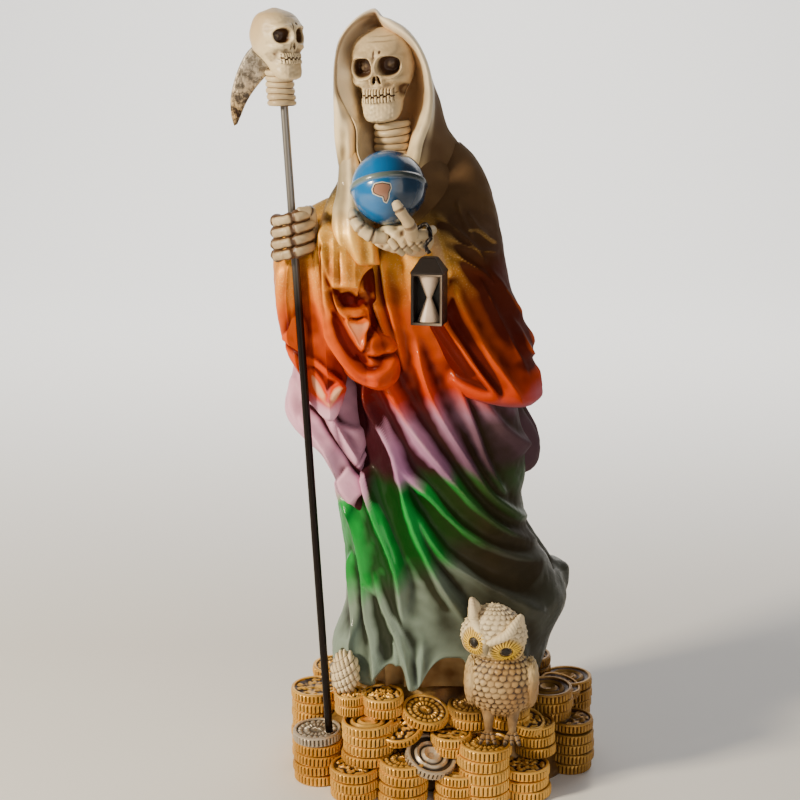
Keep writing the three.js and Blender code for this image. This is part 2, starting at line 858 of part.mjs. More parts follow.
// The left hand lies under the globe with one finger up in front of it
function leftHand() {
  const palm = ball(...nearGlobe(0.22, -0.15, -1.36), ...inUnits([11.5, 8, 6]), 9, 6);
  const wrist = limb(
    [nearGlobe(1.76, 1.76, -1.54), nearGlobe(1.1, 0.81, -1.62), nearGlobe(0.51, 0, -1.47)],
    inUnits([5, 5, 5.2]),
    7,
    3,
  );
  const upright = limb(
    [
      nearGlobe(0.59, -0.59, -1.32),
      nearGlobe(0.51, -0.99, -0.92),
      nearGlobe(0.18, -1.125, -0.485),
      nearGlobe(0.09, -1.09, -0.28),
    ],
    inUnits([2.4, 2, 1.9, 1.2]),
    5,
    5,
  );
  const curled = [0, 1, 2].map((finger) => limb(
    [
      nearGlobe(0.07, -0.44 + finger * 0.29, -1.36),
      nearGlobe(-0.77, -0.44 + finger * 0.37, -0.985),
      nearGlobe(-1.015, -0.33 + finger * 0.33, -0.6),
    ],
    inUnits([2.4, 2.1, 1.3]),
    5,
    4,
  ));
  return [palm, wrist, upright, ...curled];
}

// The right fist closes round the rod: four fingers lie one above the other
const fistHeight = placed(0, 0, 218).z;
const fingerPitch = 4.3;
const fingerRadius = 2.35;
const fingerReach = 6.2;
const fingerSlope = 1.6;

function rightFist() {
  const centre = onRod(fistHeight);
  const nearFist = (x, y, z) => [centre.x + x * unit, centre.y + y * unit, centre.z + z * unit];
  const fingers = [0, 1, 2, 3].map((finger) => {
    const rise = (finger - 1.5) * fingerPitch;
    const points = [-50, 5, 60, 115, 160, 200].map((degrees) => {
      const angle = THREE.MathUtils.degToRad(-degrees);
      const x = fingerReach * Math.cos(angle);
      const y = fingerReach * 0.9 * Math.sin(angle);
      return nearFist(x, y, rise + fingerSlope * Math.cos(angle));
    });
    const radii = [1, 1, 1.08, 1, 1.05, 0.8].map((share) => share * fingerRadius);
    return limb(points, inUnits(radii), 5, 6);
  });
  const palm = ball(...nearFist(3, 4.6, 0), ...inUnits([6.5, 4.2, 9]), 8, 5);
  const thumbLine = [nearFist(7, 2, 4), nearFist(6.4, -3, 8.2), nearFist(2.6, -5.6, 9)];
  const wristLine = [nearFist(5, 6, -2), nearFist(5, 11, -6), nearFist(9, 18, -9)];
  const thumb = limb(thumbLine, inUnits([2.2, 2.1, 1.4]), 5, 3);
  const wrist = limb(wristLine, inUnits([5, 4.6, 5]), 7, 3);
  return [...fingers, palm, thumb, wrist];
}

// Toes of the foot that shows under the hem, on the pile of coins in front of it
function foot() {
  const ground = footPile.z + footPile.coins * coinThickness + gap;
  return [-1.5, -0.5, 0.5, 1.5].map((toe) => limb(
    [
      [footPile.x + (3.4 + toe * 2.2) * unit, footPile.y + 12 * unit, ground + 12 * unit],
      [footPile.x + (1.2 + toe * 2.7) * unit, footPile.y + 4 * unit, ground + 7 * unit],
      [footPile.x + toe * 3 * unit, footPile.y - 3 * unit, ground + 2.2 * unit],
    ],
    inUnits([3, 2.4, 1.5]),
    5,
    3,
  ));
}

function robedFigure() {
  const hood = cut(solid(drape(hoodOuter)), [drape(hoodHollow)]);
  const knots = [
    ball(...placed(-25.5, -33.5, 170).toArray(), ...inUnits([7, 4.5, 9]), 8, 5),
    ball(...placed(-35, -32.5, 193).toArray(), ...inUnits([6, 4.5, 5]), 8, 5),
  ];
  const cloth = [robe(), ...[frontDrape, rightSleeve, capeTail, leftSleeve, backCape].map(drape), ...knots];
  const bones = [head(), neck(), ...leftHand(), ...rightFist(), ...foot()];
  const bore = rodCylinder(rodRadius + rodClearance, rodFootHeight + rodBelowTop, figureHeight, 8);
  const seatRadius = globeRadius + globeBandHeight + gap;
  const seat = ball(...globeCentre.toArray(), seatRadius, seatRadius, seatRadius, 14, 9);
  const holes = [bore, seat, wireTube(wireRadius + gap), ...pilesAtHem()];
  return cut(joined([...cloth, ...bones]).add(hood), holes);
}

// The globe

function globe() {
  const profile = [];
  const steps = 5;
  const half = Math.asin(globeBandWidth / 2 / globeRadius);
  for (let step = 0; step <= steps; step += 1) {
    const angle = -Math.PI / 2 + ((Math.PI / 2 - half) * step) / steps;
    const radius = step === 0 ? 0 : globeRadius * Math.cos(angle);
    profile.push(new THREE.Vector2(radius, globeRadius * Math.sin(angle)));
  }
  profile.push(new THREE.Vector2(globeRadius + globeBandHeight, 0));
  profile.push(...profile.slice(0, steps + 1).reverse().map((point) => new THREE.Vector2(point.x, -point.y)));
  const geometry = new THREE.LatheGeometry(profile, 14);
  geometry.rotateX(Math.PI / 2);
  geometry.rotateX(THREE.MathUtils.degToRad(-26));
  geometry.rotateY(THREE.MathUtils.degToRad(-5));
  geometry.translate(...globeCentre.toArray());
  return geometry;
}

// The scythe

const scytheFoot = rodTop - socketDepth * rodDirection.z - rodClearance;

function scytheHead() {
  const collar = turnedOntoRod(ringedNeck(scytheNeckRadius, scytheNeckLength, 4, 8), scytheFoot);
  const face = skull(scytheSkullHeight, false);
  face.scale(0.94, 1, 1);
  face.rotateZ(THREE.MathUtils.degToRad(42));
  face.translate(-1.2, 0, scytheNeckLength + scytheSkullHeight * 0.36);
  const middle = onRod(scytheFoot);
  face.translate(middle.x, middle.y, middle.z);
  const bore = rodCylinder(rodRadius + rodClearance, scytheFoot - 1, rodTop + rodClearance, 8);
  return surface(cut(joined([collar, face, blade(middle)]), [bore]));
}

// The blade leaves the back of the small skull and curves down to a blunt point
function blade(middle) {
  const steps = 7;
  const root = scytheNeckLength + scytheSkullHeight * 0.353;
  const tip = root - bladeDrop;
  const point = (across, high) => new THREE.Vector2(-bladeReach * across, tip + bladeDrop * high);
  const spine = new THREE.QuadraticBezierCurve(point(0.1, 1), point(0.79, 0.73), point(1, 0));
  const edge = new THREE.QuadraticBezierCurve(point(0.1, 0.7), point(0.545, 0.56), point(0.87, 0.027));
  const outline = new THREE.Shape([...spine.getPoints(steps), ...edge.getPoints(steps).reverse()]);
  const geometry = new THREE.ExtrudeGeometry(outline, { depth: bladeThickness, bevelEnabled: false });
  geometry.rotateX(Math.PI / 2);
  geometry.translate(0, bladeThickness / 2, 0);
  geometry.rotateZ(THREE.MathUtils.degToRad(-12));
  geometry.translate(middle.x, middle.y + 2, middle.z);
  return geometry;
}

// The lantern and its wire

const lanternTurn = -13;
const wireHook = new THREE.Vector3(...nearGlobe(0.99, -0.48, -0.93));
const lanternTop = wireHook.clone().add(new THREE.Vector3(1.2 * unit, -4.5 * unit, -wireDrop));

function lantern() {
  const middle = -lanternRoofHeight - lanternHeight / 2;
  const body = new THREE.BoxGeometry(lanternWidth, lanternDepth, lanternHeight);
  body.translate(0, 0, middle);
  const roof = new THREE.CylinderGeometry(lanternWidth * 0.3, lanternWidth * 0.72, lanternRoofHeight + 1, 4);
  roof.rotateX(Math.PI / 2);
  roof.rotateZ(Math.PI / 4);
  roof.scale(1, lanternDepth / lanternWidth, 1);
  roof.translate(0, 0, -(lanternRoofHeight + 1) / 2);
  const windowWidth = lanternWidth - 2 * lanternWall;
  const windowHeight = lanternHeight - 2 * lanternWall;
  const recess = lanternDepth - lanternBack;
  const opening = new THREE.BoxGeometry(windowWidth, recess * 2, windowHeight);
  opening.translate(0, -lanternDepth / 2, middle);
  const radius = windowWidth / 2 - hourglassClearance;
  const half = windowHeight / 2 + gap;
  const profile = [
    new THREE.Vector2(0, -half),
    new THREE.Vector2(radius, -half),
    new THREE.Vector2(hourglassNeck, 0),
    new THREE.Vector2(radius, half),
    new THREE.Vector2(0, half),
  ];
  const hourglass = new THREE.LatheGeometry(profile, 8);
  hourglass.rotateX(Math.PI / 2);
  hourglass.translate(0, lanternDepth / 2 - lanternBack - radius * 0.6, middle);
  const geometry = surface(cut(joined([body, roof]), [opening]).add(solid(hourglass)));
  geometry.rotateZ(THREE.MathUtils.degToRad(lanternTurn));
  geometry.translate(...lanternTop.toArray());
  return geometry;
}

// The wire comes out of the hand, bends over and drops to the lantern's roof
function wireTube(radius) {
  const end = lanternTop.clone().add(new THREE.Vector3(0, 0, wireRadius + gap));
  const between = (share) => new THREE.Vector3().lerpVectors(wireHook, end, share);
  const path = new THREE.CatmullRomCurve3([
    new THREE.Vector3(...nearGlobe(0.62, -0.36, -1.13)),
    wireHook,
    between(0.4).add(new THREE.Vector3(1.2, -1.6, 0)),
    between(0.72).add(new THREE.Vector3(-1.1, -0.6, 0)),
    end,
  ]);
  const section = new THREE.Shape();
  section.absarc(0, 0, radius, 0, 2 * Math.PI);
  const along = { steps: 9, curveSegments: 3, extrudePath: path, bevelEnabled: false };
  return new THREE.ExtrudeGeometry(section, along);
}

// The owl

function owl() {
  const ground = owlPile.coins * coinThickness + gap;
  const rounds = [[13, 3.5], [17, 8], [24, 11.4], [33, 11.8], [40, 9.4]];
  const body = skin(rounds.map(([height, half]) => anglesRound(9, 0).map((angle) => (
    new THREE.Vector3(half * 1.05 * Math.cos(angle), half * 0.78 * Math.sin(angle), height)
  ))));
  const face = ball(-1.5, -1.5, 44, 12.4, 8.6, 8.6, 9, 5);
  const ears = [[-12, 57], [8.5, 51.5]].map(([x, z]) => limb(
    [[x * 0.55, -2, 47], [x * 0.8, -2.6, z - 4], [x, -3, z]],
    [3.6, 2.2, 0.6],
    4,
    2,
  ));
  const wings = [-1, 1].map((side) => ball(side * 10.8, 1, 28, 3.6, 6.6, 10.5, 6, 4));
  const legs = [-4.4, 4.4].flatMap((x) => {
    const shin = limb([[x, -1, 18], [x, -1.6, 8], [x, -2, 1.6]], [2.6, 1.6, 1.7], 4, 2);
    const toes = [-1, 0, 1].map((toe) => (
      limb([[x, -1.5, 2], [x + toe * 2, -3.6, 1.5], [x + toe * 3, -5.4, 0.75]], [1.2, 1, 0.7], 3, 1)
    ));
    return [shin, ...toes];
  });
  const geometry = surface(joined([body, face, ...ears, ...wings, ...legs]));
  geometry.scale(owlSize, owlSize, owlSize);
  geometry.rotateZ(THREE.MathUtils.degToRad(-6));
  geometry.translate(owlPile.x + owlAside * coinRadius, owlPile.y, ground);
  return geometry;
}

const statuette = new THREE.Group();
statuette.add(named('coin_base', surface(coinHeap()), paint.coins));
statuette.add(named('robed_figure', surface(robedFigure()), paint.robe));
statuette.add(named('globe', globe(), paint.globe));
statuette.add(named('owl', owl(), paint.owl));
statuette.add(named('scythe_staff', rodCylinder(rodRadius, rodFootHeight, rodTop, 8), paint.rod));
statuette.add(named('scythe_head', scytheHead(), paint.bone));
statuette.add(named('hourglass_lantern', lantern(), paint.lantern));
statuette.add(named('hourglass_wire', wireTube(wireRadius), paint.wire));

export default statuette;
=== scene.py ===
# %% [markdown]
# # A painted resin statuette
# The real object is a cast figure: a hooded skeleton in a long robe, sprayed in bands of colour, that
# stands on a mound of coins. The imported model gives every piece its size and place. This script dresses
# it: each new piece is a surface worked out with numpy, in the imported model's own frame.

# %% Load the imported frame
import math

import bpy
import numpy as np
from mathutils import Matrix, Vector


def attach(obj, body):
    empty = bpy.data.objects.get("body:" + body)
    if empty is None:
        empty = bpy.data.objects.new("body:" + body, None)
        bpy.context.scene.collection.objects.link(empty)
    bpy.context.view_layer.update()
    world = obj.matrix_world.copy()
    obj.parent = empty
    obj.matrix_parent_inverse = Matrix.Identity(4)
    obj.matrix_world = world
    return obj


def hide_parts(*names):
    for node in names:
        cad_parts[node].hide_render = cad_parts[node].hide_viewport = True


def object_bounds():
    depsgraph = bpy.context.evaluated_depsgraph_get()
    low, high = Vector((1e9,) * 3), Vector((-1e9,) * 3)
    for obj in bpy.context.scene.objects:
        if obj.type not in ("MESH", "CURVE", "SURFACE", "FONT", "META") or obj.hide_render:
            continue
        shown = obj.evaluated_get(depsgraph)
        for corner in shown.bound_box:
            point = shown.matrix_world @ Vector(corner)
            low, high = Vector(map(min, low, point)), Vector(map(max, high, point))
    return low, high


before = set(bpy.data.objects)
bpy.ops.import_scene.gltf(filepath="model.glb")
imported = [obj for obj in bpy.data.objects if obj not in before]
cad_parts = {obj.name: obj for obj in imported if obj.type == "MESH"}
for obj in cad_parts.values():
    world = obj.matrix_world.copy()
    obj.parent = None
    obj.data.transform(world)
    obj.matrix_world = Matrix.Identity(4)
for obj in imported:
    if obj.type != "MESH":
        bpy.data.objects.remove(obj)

cad_box = [list(corner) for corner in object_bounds()]
MM = 0.001
print("packed box in mm:", [[round(v / MM, 1) for v in corner] for corner in cad_box])

# %% [markdown]
# ## Camera, floor and light
# The photograph looks slightly down on the figure from about 60 cm. The camera goes in first, because
# every other choice is judged through it. A small warm key lamp stands on the left, as in the
# photograph, so that the folds throw shadows to the right. Two large soft lamps fill them, and a fourth
# one lights the pale floor where it sweeps up behind the figure.

# %% Camera
camera = bpy.data.objects.new("camera", bpy.data.cameras.new("camera"))
camera.data.lens = 70
camera.data.sensor_width = 36
camera.location = Vector((-18, -600, 290)) * MM
camera.rotation_euler = (math.radians(90 - 13.2), 0, 0)
bpy.context.scene.collection.objects.link(camera)
bpy.context.scene.camera = camera

# %% Floor and lamps
def area_lamp(name, place, aim, size, power, color):
    """A square lamp at place, in metres, turned so that it shines at aim."""
    lamp = bpy.data.lights.new(name, "AREA")
    lamp.size = size
    lamp.energy = power
    lamp.color = color
    holder = bpy.data.objects.new(name, lamp)
    holder.location = place
    holder.rotation_euler = (Vector(aim) - Vector(place)).to_track_quat("-Z", "Y").to_euler()
    bpy.context.scene.collection.objects.link(holder)
    return holder


middle = (0, 0, 0.15)
area_lamp("key lamp", (-0.8, -0.46, 0.56), middle, 0.16, 15, (1.0, 0.85, 0.62))
area_lamp("fill lamp", (0.5, -1.15, 0.45), middle, 0.9, 4.2, (1.0, 0.9, 0.78))
area_lamp("back lamp", (0.35, 0.6, 0.8), middle, 0.6, 2, (1.0, 0.97, 0.94))
area_lamp("backdrop lamp", (0, 0.7, 1.6), (0, 2.6, 0.9), 1.6, 85, (1.0, 0.99, 0.97))

world = bpy.data.worlds.new("studio")
world.use_nodes = True
world.node_tree.nodes["Background"].inputs["Color"].default_value = (0.95, 0.96, 1.0, 1)
world.node_tree.nodes["Background"].inputs["Strength"].default_value = 0.14
bpy.context.scene.world = world

# The floor runs back and sweeps up behind the figure: a quarter round between flat and upright
turn = np.linspace(0, np.pi / 2, 24)
sweep = np.r_[[(-4.0, 0.0)], np.c_[1.2 + 1.5 * np.sin(turn), 1.5 - 1.5 * np.cos(turn)], [(2.7, 6.0)]]
corners = [(x, y, z) for x in (-6.0, 6.0) for y, z in sweep]
count = len(sweep)
faces = [(i, i + 1, count + i + 1, count + i) for i in range(count - 1)]
floor_mesh = bpy.data.meshes.new("floor")
floor_mesh.from_pydata(corners, [], [face[::-1] for face in faces])
floor_mesh.polygons.foreach_set("use_smooth", [True] * len(faces))
floor = bpy.data.objects.new("floor", floor_mesh)
bpy.context.scene.collection.objects.link(floor)
pale = bpy.data.materials.new("pale floor")
pale.use_nodes = True
pale.node_tree.nodes["Principled BSDF"].inputs["Base Color"].default_value = (0.88, 0.87, 0.85, 1)
pale.node_tree.nodes["Principled BSDF"].inputs["Roughness"].default_value = 0.9
floor_mesh.materials.append(pale)

# %% [markdown]
# ## Smooth lines and closed skins
# Every form here comes from a few helpers. A smooth line goes through a handful of places. A skin is a
# grid of points that closes round a form and over its two ends. Folds are strokes: each is a line drawn
# on the front view, and it lifts the skin along that line, highest on the line and soft at its sides.

# %% Smooth lines
def track(pairs):
    """Cubic through pairs of place and value: each value is reached with the slope between its neighbours."""
    places, values = np.array(pairs, float).T
    before, after = np.r_[0, np.arange(len(places) - 1)], np.r_[np.arange(1, len(places)), len(places) - 1]
    slopes = (values[after] - values[before]) / (places[after] - places[before])

    def value_at(place):
        place = np.clip(place, places[0], places[-1])
        i = np.clip(np.searchsorted(places, place, side="right") - 1, 0, len(places) - 2)
        span = places[i + 1] - places[i]
        t = (place - places[i]) / span
        leave = t * (1 - t) ** 2 * slopes[i] * span
        arrive = t * t * (1 - t) * slopes[i + 1] * span
        return values[i] + (values[i + 1] - values[i]) * step(0, 1, t) + leave - arrive

    return value_at


def tracks(rows):
    """One track for each column of a table but its first one, which holds the places."""
    table = np.array(rows, float)
    return [track(table[:, [0, k]]) for k in range(1, table.shape[1])]


def step(start, end, value):
    """Rises from 0 at start to 1 at end along 3t^2 - 2t^3."""
    t = np.clip((value - start) / (end - start), 0, 1)
    return t * t * (3 - 2 * t)


def bell(distance, power=2):
    """exp(-|distance|^power): 1 in the middle and soft at its sides."""
    return np.exp(-(np.abs(distance) ** power))


def line_through(points, count):
    """count points evenly spaced in parameter along a smooth line through points, of any dimension."""
    places = np.arange(len(points))
    at = np.linspace(0, len(points) - 1, count)
    return np.stack([value(at) for value in tracks(np.c_[places, np.array(points, float)])], -1)


def ripple(points, length, seed, waves=9):
    """Soft noise about zero: the mean of sines along random directions, each about length long."""
    random = np.random.default_rng(seed)
    ways = random.normal(size=(waves, 3))
    ways /= np.linalg.norm(ways, axis=1)[:, None]
    ways *= (2 * np.pi / length) * random.uniform(0.7, 1.5, (waves, 1))
    phases = random.uniform(0, 2 * np.pi, waves)
    return np.sin(points @ ways.T + phases).sum(-1) / math.sqrt(waves)


# %% Rows, rounds and grids
def down(count):
    """Shares from 0 to 1, in a column."""
    return np.linspace(0, 1, count)[:, None]


def around(count):
    """Angles evenly spaced round a circle, in a row."""
    return np.linspace(0, 2 * np.pi, count, endpoint=False)[None]


def squarish(angle, power):
    """The x and y of a squarish round: sgn(cos a) |cos a|^power and sgn(sin a) |sin a|^power."""
    x, y = np.cos(angle), np.sin(angle)
    return np.sign(x) * np.abs(x) ** power, np.sign(y) * np.abs(y) ** power


def grid_of(x, y, z):
    """A grid of places from three coordinates: a column, a row or a whole grid each."""
    return np.stack(np.broadcast_arrays(x, y, z), -1)


def capped(values, first=0, last=0):
    """A grid's values one after the other, with those of the two points that close its ends."""
    return np.r_[np.ravel(values), first, last]


# %% Closed skins
class Skin:
    """Points and faces of one or more closed surfaces, in millimetres, with marks for the painter."""

    def __init__(self, points, faces, **marks):
        self.points = points
        self.faces = faces
        self.marks = marks

    def __add__(self, other):
        shifted = [face + len(self.points) for face in other.faces]
        joined = Skin(np.r_[self.points, other.points], self.faces + shifted)
        for name in sorted(set(self.marks) | set(other.marks)):
            mine = self.marks.get(name, np.zeros(len(self.points)))
            theirs = other.marks.get(name, np.zeros(len(other.points)))
            joined.marks[name] = np.r_[mine, theirs]
        return joined


def blurred(grid, passes):
    """Each pass replaces a point by (before + 2 * itself + after) / 4 along rows and round columns."""
    for _ in range(passes):
        padded = np.concatenate([grid[:1], grid, grid[-1:]])
        grid = (padded[:-2] + 2 * padded[1:-1] + padded[2:]) / 4
        grid = (np.roll(grid, 1, axis=1) + 2 * grid + np.roll(grid, -1, axis=1)) / 4
    return grid


def hollows(grid, passes, depth):
    """How far each point lies under the blurred form, along its normal, in units of depth."""
    padded = np.concatenate([grid[:1], grid, grid[-1:]])
    up = padded[2:] - padded[:-2]
    sideways = np.roll(grid, -1, axis=1) - np.roll(grid, 1, axis=1)
    normal = np.cross(sideways, up)
    normal /= np.maximum(np.linalg.norm(normal, axis=2), 1e-9)[..., None]
    under = np.einsum("ijk,ijk->ij", blurred(grid, passes) - grid, normal)
    return np.clip(under / depth, -1, 1)


def wrapped(grid, passes=14, depth=1.4, lining=0):
    """A grid of rows by columns of points, closed round its columns and over its first and last row."""
    rows, columns = grid.shape[:2]
    index = np.arange(rows * columns).reshape(rows, columns)
    turn = np.roll(index, -1, axis=1)
    quads = np.stack([index[:-1], turn[:-1], turn[1:], index[1:]], -1).reshape(-1, 4)
    first = np.stack([np.full(columns, rows * columns), turn[0], index[0]], -1)
    last = np.stack([np.full(columns, rows * columns + 1), index[-1], turn[-1]], -1)
    points = np.r_[grid.reshape(-1, 3), [grid[0].mean(0)], [grid[-1].mean(0)]]
    corners = points[np.concatenate([quads[:, :3], quads[:, [0, 2, 3]], first, last])]
    outward = np.einsum("ij,ij->i", corners[:, 0], np.cross(corners[:, 1], corners[:, 2])).sum() > 0
    faces = [quads, first, last]
    deep = hollows(grid, passes, depth) * (1 if outward else -1)
    lined = np.broadcast_to(lining, (rows, columns)).astype(float)
    marks = {"hollow": capped(deep), "lining": capped(lined, lined[0, 0], lined[-1, 0])}
    return Skin(points, faces if outward else [face[:, ::-1] for face in faces], **marks)


def tube(path, radii, sides, shape=None):
    """A round of radius radii(t) carried along a path of points. shape(t, angle) adds to the radius."""
    ways = np.gradient(path, axis=0)
    ways /= np.linalg.norm(ways, axis=1)[:, None]
    across = np.cross(ways, (0.13, 0.3, 1.0))
    across /= np.linalg.norm(across, axis=1)[:, None]
    beside = np.cross(ways, across)
    share, angle = down(len(path)), around(sides)
    radius = np.broadcast_to(radii(share), (len(path), sides))
    if shape is not None:
        radius = radius + shape(share, angle)
    offset = across[:, None] * (radius * np.cos(angle))[..., None]
    offset = offset + beside[:, None] * (radius * np.sin(angle))[..., None]
    return wrapped(path[:, None] + offset, passes=8, depth=0.5)


def round_ended(radius_at, end=0.09):
    """The same radii, drawn in to a rounded point over the first and last share of the length."""
    def radius(share):
        near = np.minimum(share, 1 - share) / end
        return radius_at(share) * np.sqrt(np.clip(1 - (1 - np.clip(near, 0, 1)) ** 2, 0.0004, 1))
    return radius


def unit_ball(rows, columns, pole=0.02):
    """Places (sin a cos b, sin a sin b, cos a) on a ball of radius 1, a running from pole to pi - pole."""
    a = np.linspace(pole, np.pi - pole, rows)[:, None]
    b = around(columns)
    return grid_of(np.sin(a) * np.cos(b), np.sin(a) * np.sin(b), np.cos(a))


def ball(centre, radii, rows, columns, lift=None):
    """An ellipsoid: centre + radii * unit, made larger by the share lift(unit)."""
    unit = unit_ball(rows, columns)
    grow = 1.0 if lift is None else 1 + lift(unit)[..., None]
    return wrapped(np.array(centre, float) + unit * np.array(radii, float) * grow, passes=6, depth=0.4)


# %% Folds drawn as strokes
def fold(line, lit, shade, height, widen=1.3, taper=(0.12, 0.25)):
    """A ridge along a smooth line of (x, z) places in the front view, or a groove if its height is
    below zero. lit and shade are its half widths to the left and right of the line as it runs down."""
    return {"line": line_through(line, 22), "lit": lit, "shade": shade, "height": height, "widen": widen,
            "taper": taper}


def patch(outline, height, edge=1.0):
    """A raised or sunken area with a closed smooth outline, whose step is spread over edge to each side."""
    places = np.array(outline, float)
    closed = line_through(np.r_[places[-1:], places, places[:2]], 6 * len(places) + 13)
    return {"outline": closed[6:-6], "height": height, "edge": edge}


def nearest_on(line, x, z):
    """Distance to a line, the share of its length where it is nearest, and the side: 1 is right."""
    distance, along, side = np.full(x.shape, np.inf), np.zeros(x.shape), np.zeros(x.shape)
    for i, (start, end) in enumerate(zip(line[:-1], line[1:])):
        way = end - start
        across, up = x - start[0], z - start[1]
        share = np.clip((across * way[0] + up * way[1]) / (way @ way), 0, 1)
        here = np.hypot(across - share * way[0], up - share * way[1])
        nearer = here < distance
        distance = np.where(nearer, here, distance)
        along = np.where(nearer, (i + share) / (len(line) - 1), along)
        side = np.where(nearer, np.sign(way[0] * up - way[1] * across), side)
    return distance, along, side


def inside_distance(outline, x, z):
    """Distance to a closed outline, positive inside it."""
    outline = np.r_[outline, outline[:1]] if np.any(outline[0] != outline[-1]) else outline
    distance = nearest_on(outline, x, z)[0]
    inside = np.zeros(x.shape, bool)
    for (ax, az), (bx, bz) in zip(outline[:-1], outline[1:]):
        crossing = (az > z) != (bz > z)
        rise = bz - az if bz != az else 1e-9
        inside ^= crossing & (x < ax + (z - az) * (bx - ax) / rise)
    return np.where(inside, distance, -distance)


def lifted(strokes, x, z):
    """Height of all strokes. Ridges together are the cube root of the sum of cubes, so the highest wins."""
    ridges, grooves, areas = np.zeros(x.shape), np.zeros(x.shape), np.zeros(x.shape)
    for one in strokes:
        if "outline" in one:
            depth = inside_distance(one["outline"], x, z)
            areas += one["height"] * step(-one["edge"], one["edge"], depth)
            continue
        distance, along, side = nearest_on(one["line"], x, z)
        width = np.where(side > 0, one["shade"], one["lit"]) * (1 + (one["widen"] - 1) * along)
        into, out = one["taper"]
        share = step(-0.02, into, along) * step(1.02, 1 - out, along)
        kind = ridges if one["height"] > 0 else grooves
        kind += (abs(one["height"]) * share * bell(distance / width, 1.4)) ** 3
    return np.cbrt(ridges) - np.cbrt(grooves) + areas


# %% Draped rounds
def angles_round(columns, crowding):
    """Angles round a form that start at its back and lie closer together at its front."""
    share = np.arange(columns) / columns - 0.5
    return -np.pi / 2 + 2 * np.pi * share - crowding * np.sin(2 * np.pi * share)


ROLLED = [(2.6, 5, None), (2.5, 2.2, None), (2.3, 0.9, None), (1.8, 0.2, None), (1.1, -0.1, None),
          (0.4, 0.2, None)]


def draped(rows, columns, rings, strokes=(), power=0.9, crowding=0.5, hem=None, rim=ROLLED, pleats=None,
           dark=()):
    """Rounds stacked from a hem up. rows are height, left, right, front and back, in mm.
    At angle a and height z the skin is at x = middle + half * sgn(cos a)|cos a|^power, and y likewise.
    Strokes push the front outwards and pleats(a, z) the rest. rim lists rounds inside the hem: how far in,
    how far above the hem, and the level instead where that is given. dark lists strokes added to the mark
    hollow: painted shade, and painted highlight where a stroke is below zero."""
    left, right, front, back = tracks(rows)
    angle = angles_round(columns, crowding)[None]
    bottom, top = rows[0][0], rows[-1][0]

    def place(height):
        across, deep = squarish(angle, power)
        half = (right(height) - left(height)) / 2
        waist = (front(height) + back(height)) / 2
        reach = np.where(deep < 0, waist - front(height), back(height) - waist)
        return (left(height) + right(height)) / 2 + half * across, waist + reach * deep

    low = np.full(angle.shape, float(bottom))
    if hem is not None:
        low = bottom + hem(*place(low))
    height = low + (top - low) * down(rings)
    inner = [low + rise if level is None else low * 0 + level for _, rise, level in rim]
    height = np.r_[np.concatenate(inner), height]
    inset = np.r_[[[row[0]] for row in rim], np.zeros((rings, 1))]
    at = np.maximum(height, low)
    x, y = place(at)
    facing = step(0.35, -0.25, np.sin(angle))
    lift = lifted(strokes, x, at) * facing - inset
    if pleats is not None:
        lift = lift + pleats(angle, at) * (1 - facing)
    points = grid_of(x + np.cos(angle) * lift, y + np.sin(angle) * lift, height)
    worn = 0.1 * ripple(points, 11, 1) + 0.06 * ripple(points, 5, 2)
    points[..., 0] += np.cos(angle) * worn
    points[..., 1] += np.sin(angle) * worn
    lining = (np.arange(len(height)) < len(rim) - 2)[:, None]
    made = wrapped(points, passes=26, depth=1.8, lining=lining)
    # The dark strokes add painted shade to the mark hollow, and painted highlight where they are below zero
    made.marks["hollow"] += capped(lifted(dark, points[..., 0], points[..., 2]) * facing)
    return made


# %% Sheets between two borders
def sheet_between(left, right, bulge, thickness, rows, columns, waves):
    """A thick piece of cloth between two border lines of (x, y, z) places.
    Across it s runs from -1 to 1: it bulges towards the viewer by bulge * (1 - s^2), plus waves(s, t),
    and its two faces part by thickness * (1 - s^8)^0.5, which rounds its edges."""
    left, right = line_through(left, rows), line_through(right, rows)
    turn, t = around(columns), down(rows)
    s = np.cos(turn)
    ends = np.sqrt(np.clip(1 - np.abs(2 * t - 1) ** 14, 0.0002, 1))
    apart = thickness / 2 * np.sqrt(np.clip(1 - np.abs(s) ** 8, 0, 1)) * ends
    out = bulge * (1 - s ** 2) + np.sign(-np.sin(turn)) * apart + waves(s, t)
    points = (left[:, None] + right[:, None]) / 2 + (right - left)[:, None] / 2 * s[..., None]
    points[..., 1] -= out
    points[..., 1] += 0.1 * ripple(points, 6, 3)
    return wrapped(points, passes=14, depth=1.2)


# %% From skins to objects
def shown(name, skin, material, slot, *nodes, smooth=True):
    """Makes the object, in metres, with its material, and stands for the named nodes, which it hides. slot is
    not used.
    """
    mesh = bpy.data.meshes.new(name)
    polygons = np.concatenate([np.full(len(face), face.shape[1]) for face in skin.faces])
    corners = np.concatenate([face.ravel() for face in skin.faces]).astype(np.int32)
    mesh.vertices.add(len(skin.points))
    mesh.vertices.foreach_set("co", (skin.points * MM).ravel())
    mesh.loops.add(len(corners))
    mesh.loops.foreach_set("vertex_index", corners)
    mesh.polygons.add(len(polygons))
    mesh.polygons.foreach_set("loop_start", np.r_[0, np.cumsum(polygons)[:-1]].astype(np.int32))
    mesh.polygons.foreach_set("use_smooth", np.full(len(polygons), smooth))
    mesh.update(calc_edges=True)
    for mark, values in skin.marks.items():
        mesh.attributes.new(mark, "FLOAT", "POINT").data.foreach_set("value", values)
    mesh.validate()
    mesh.materials.append(material)
    thing = bpy.data.objects.new(name, mesh)
    bpy.context.scene.collection.objects.link(thing)
    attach(thing, "root")
    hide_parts(*nodes)
    triangles = int((polygons - 2).sum())
    low, high = skin.points.min(0), skin.points.max(0)
    print(name, triangles, "triangles,", low.round(1).tolist(), high.round(1).tolist())


print("helpers ready")
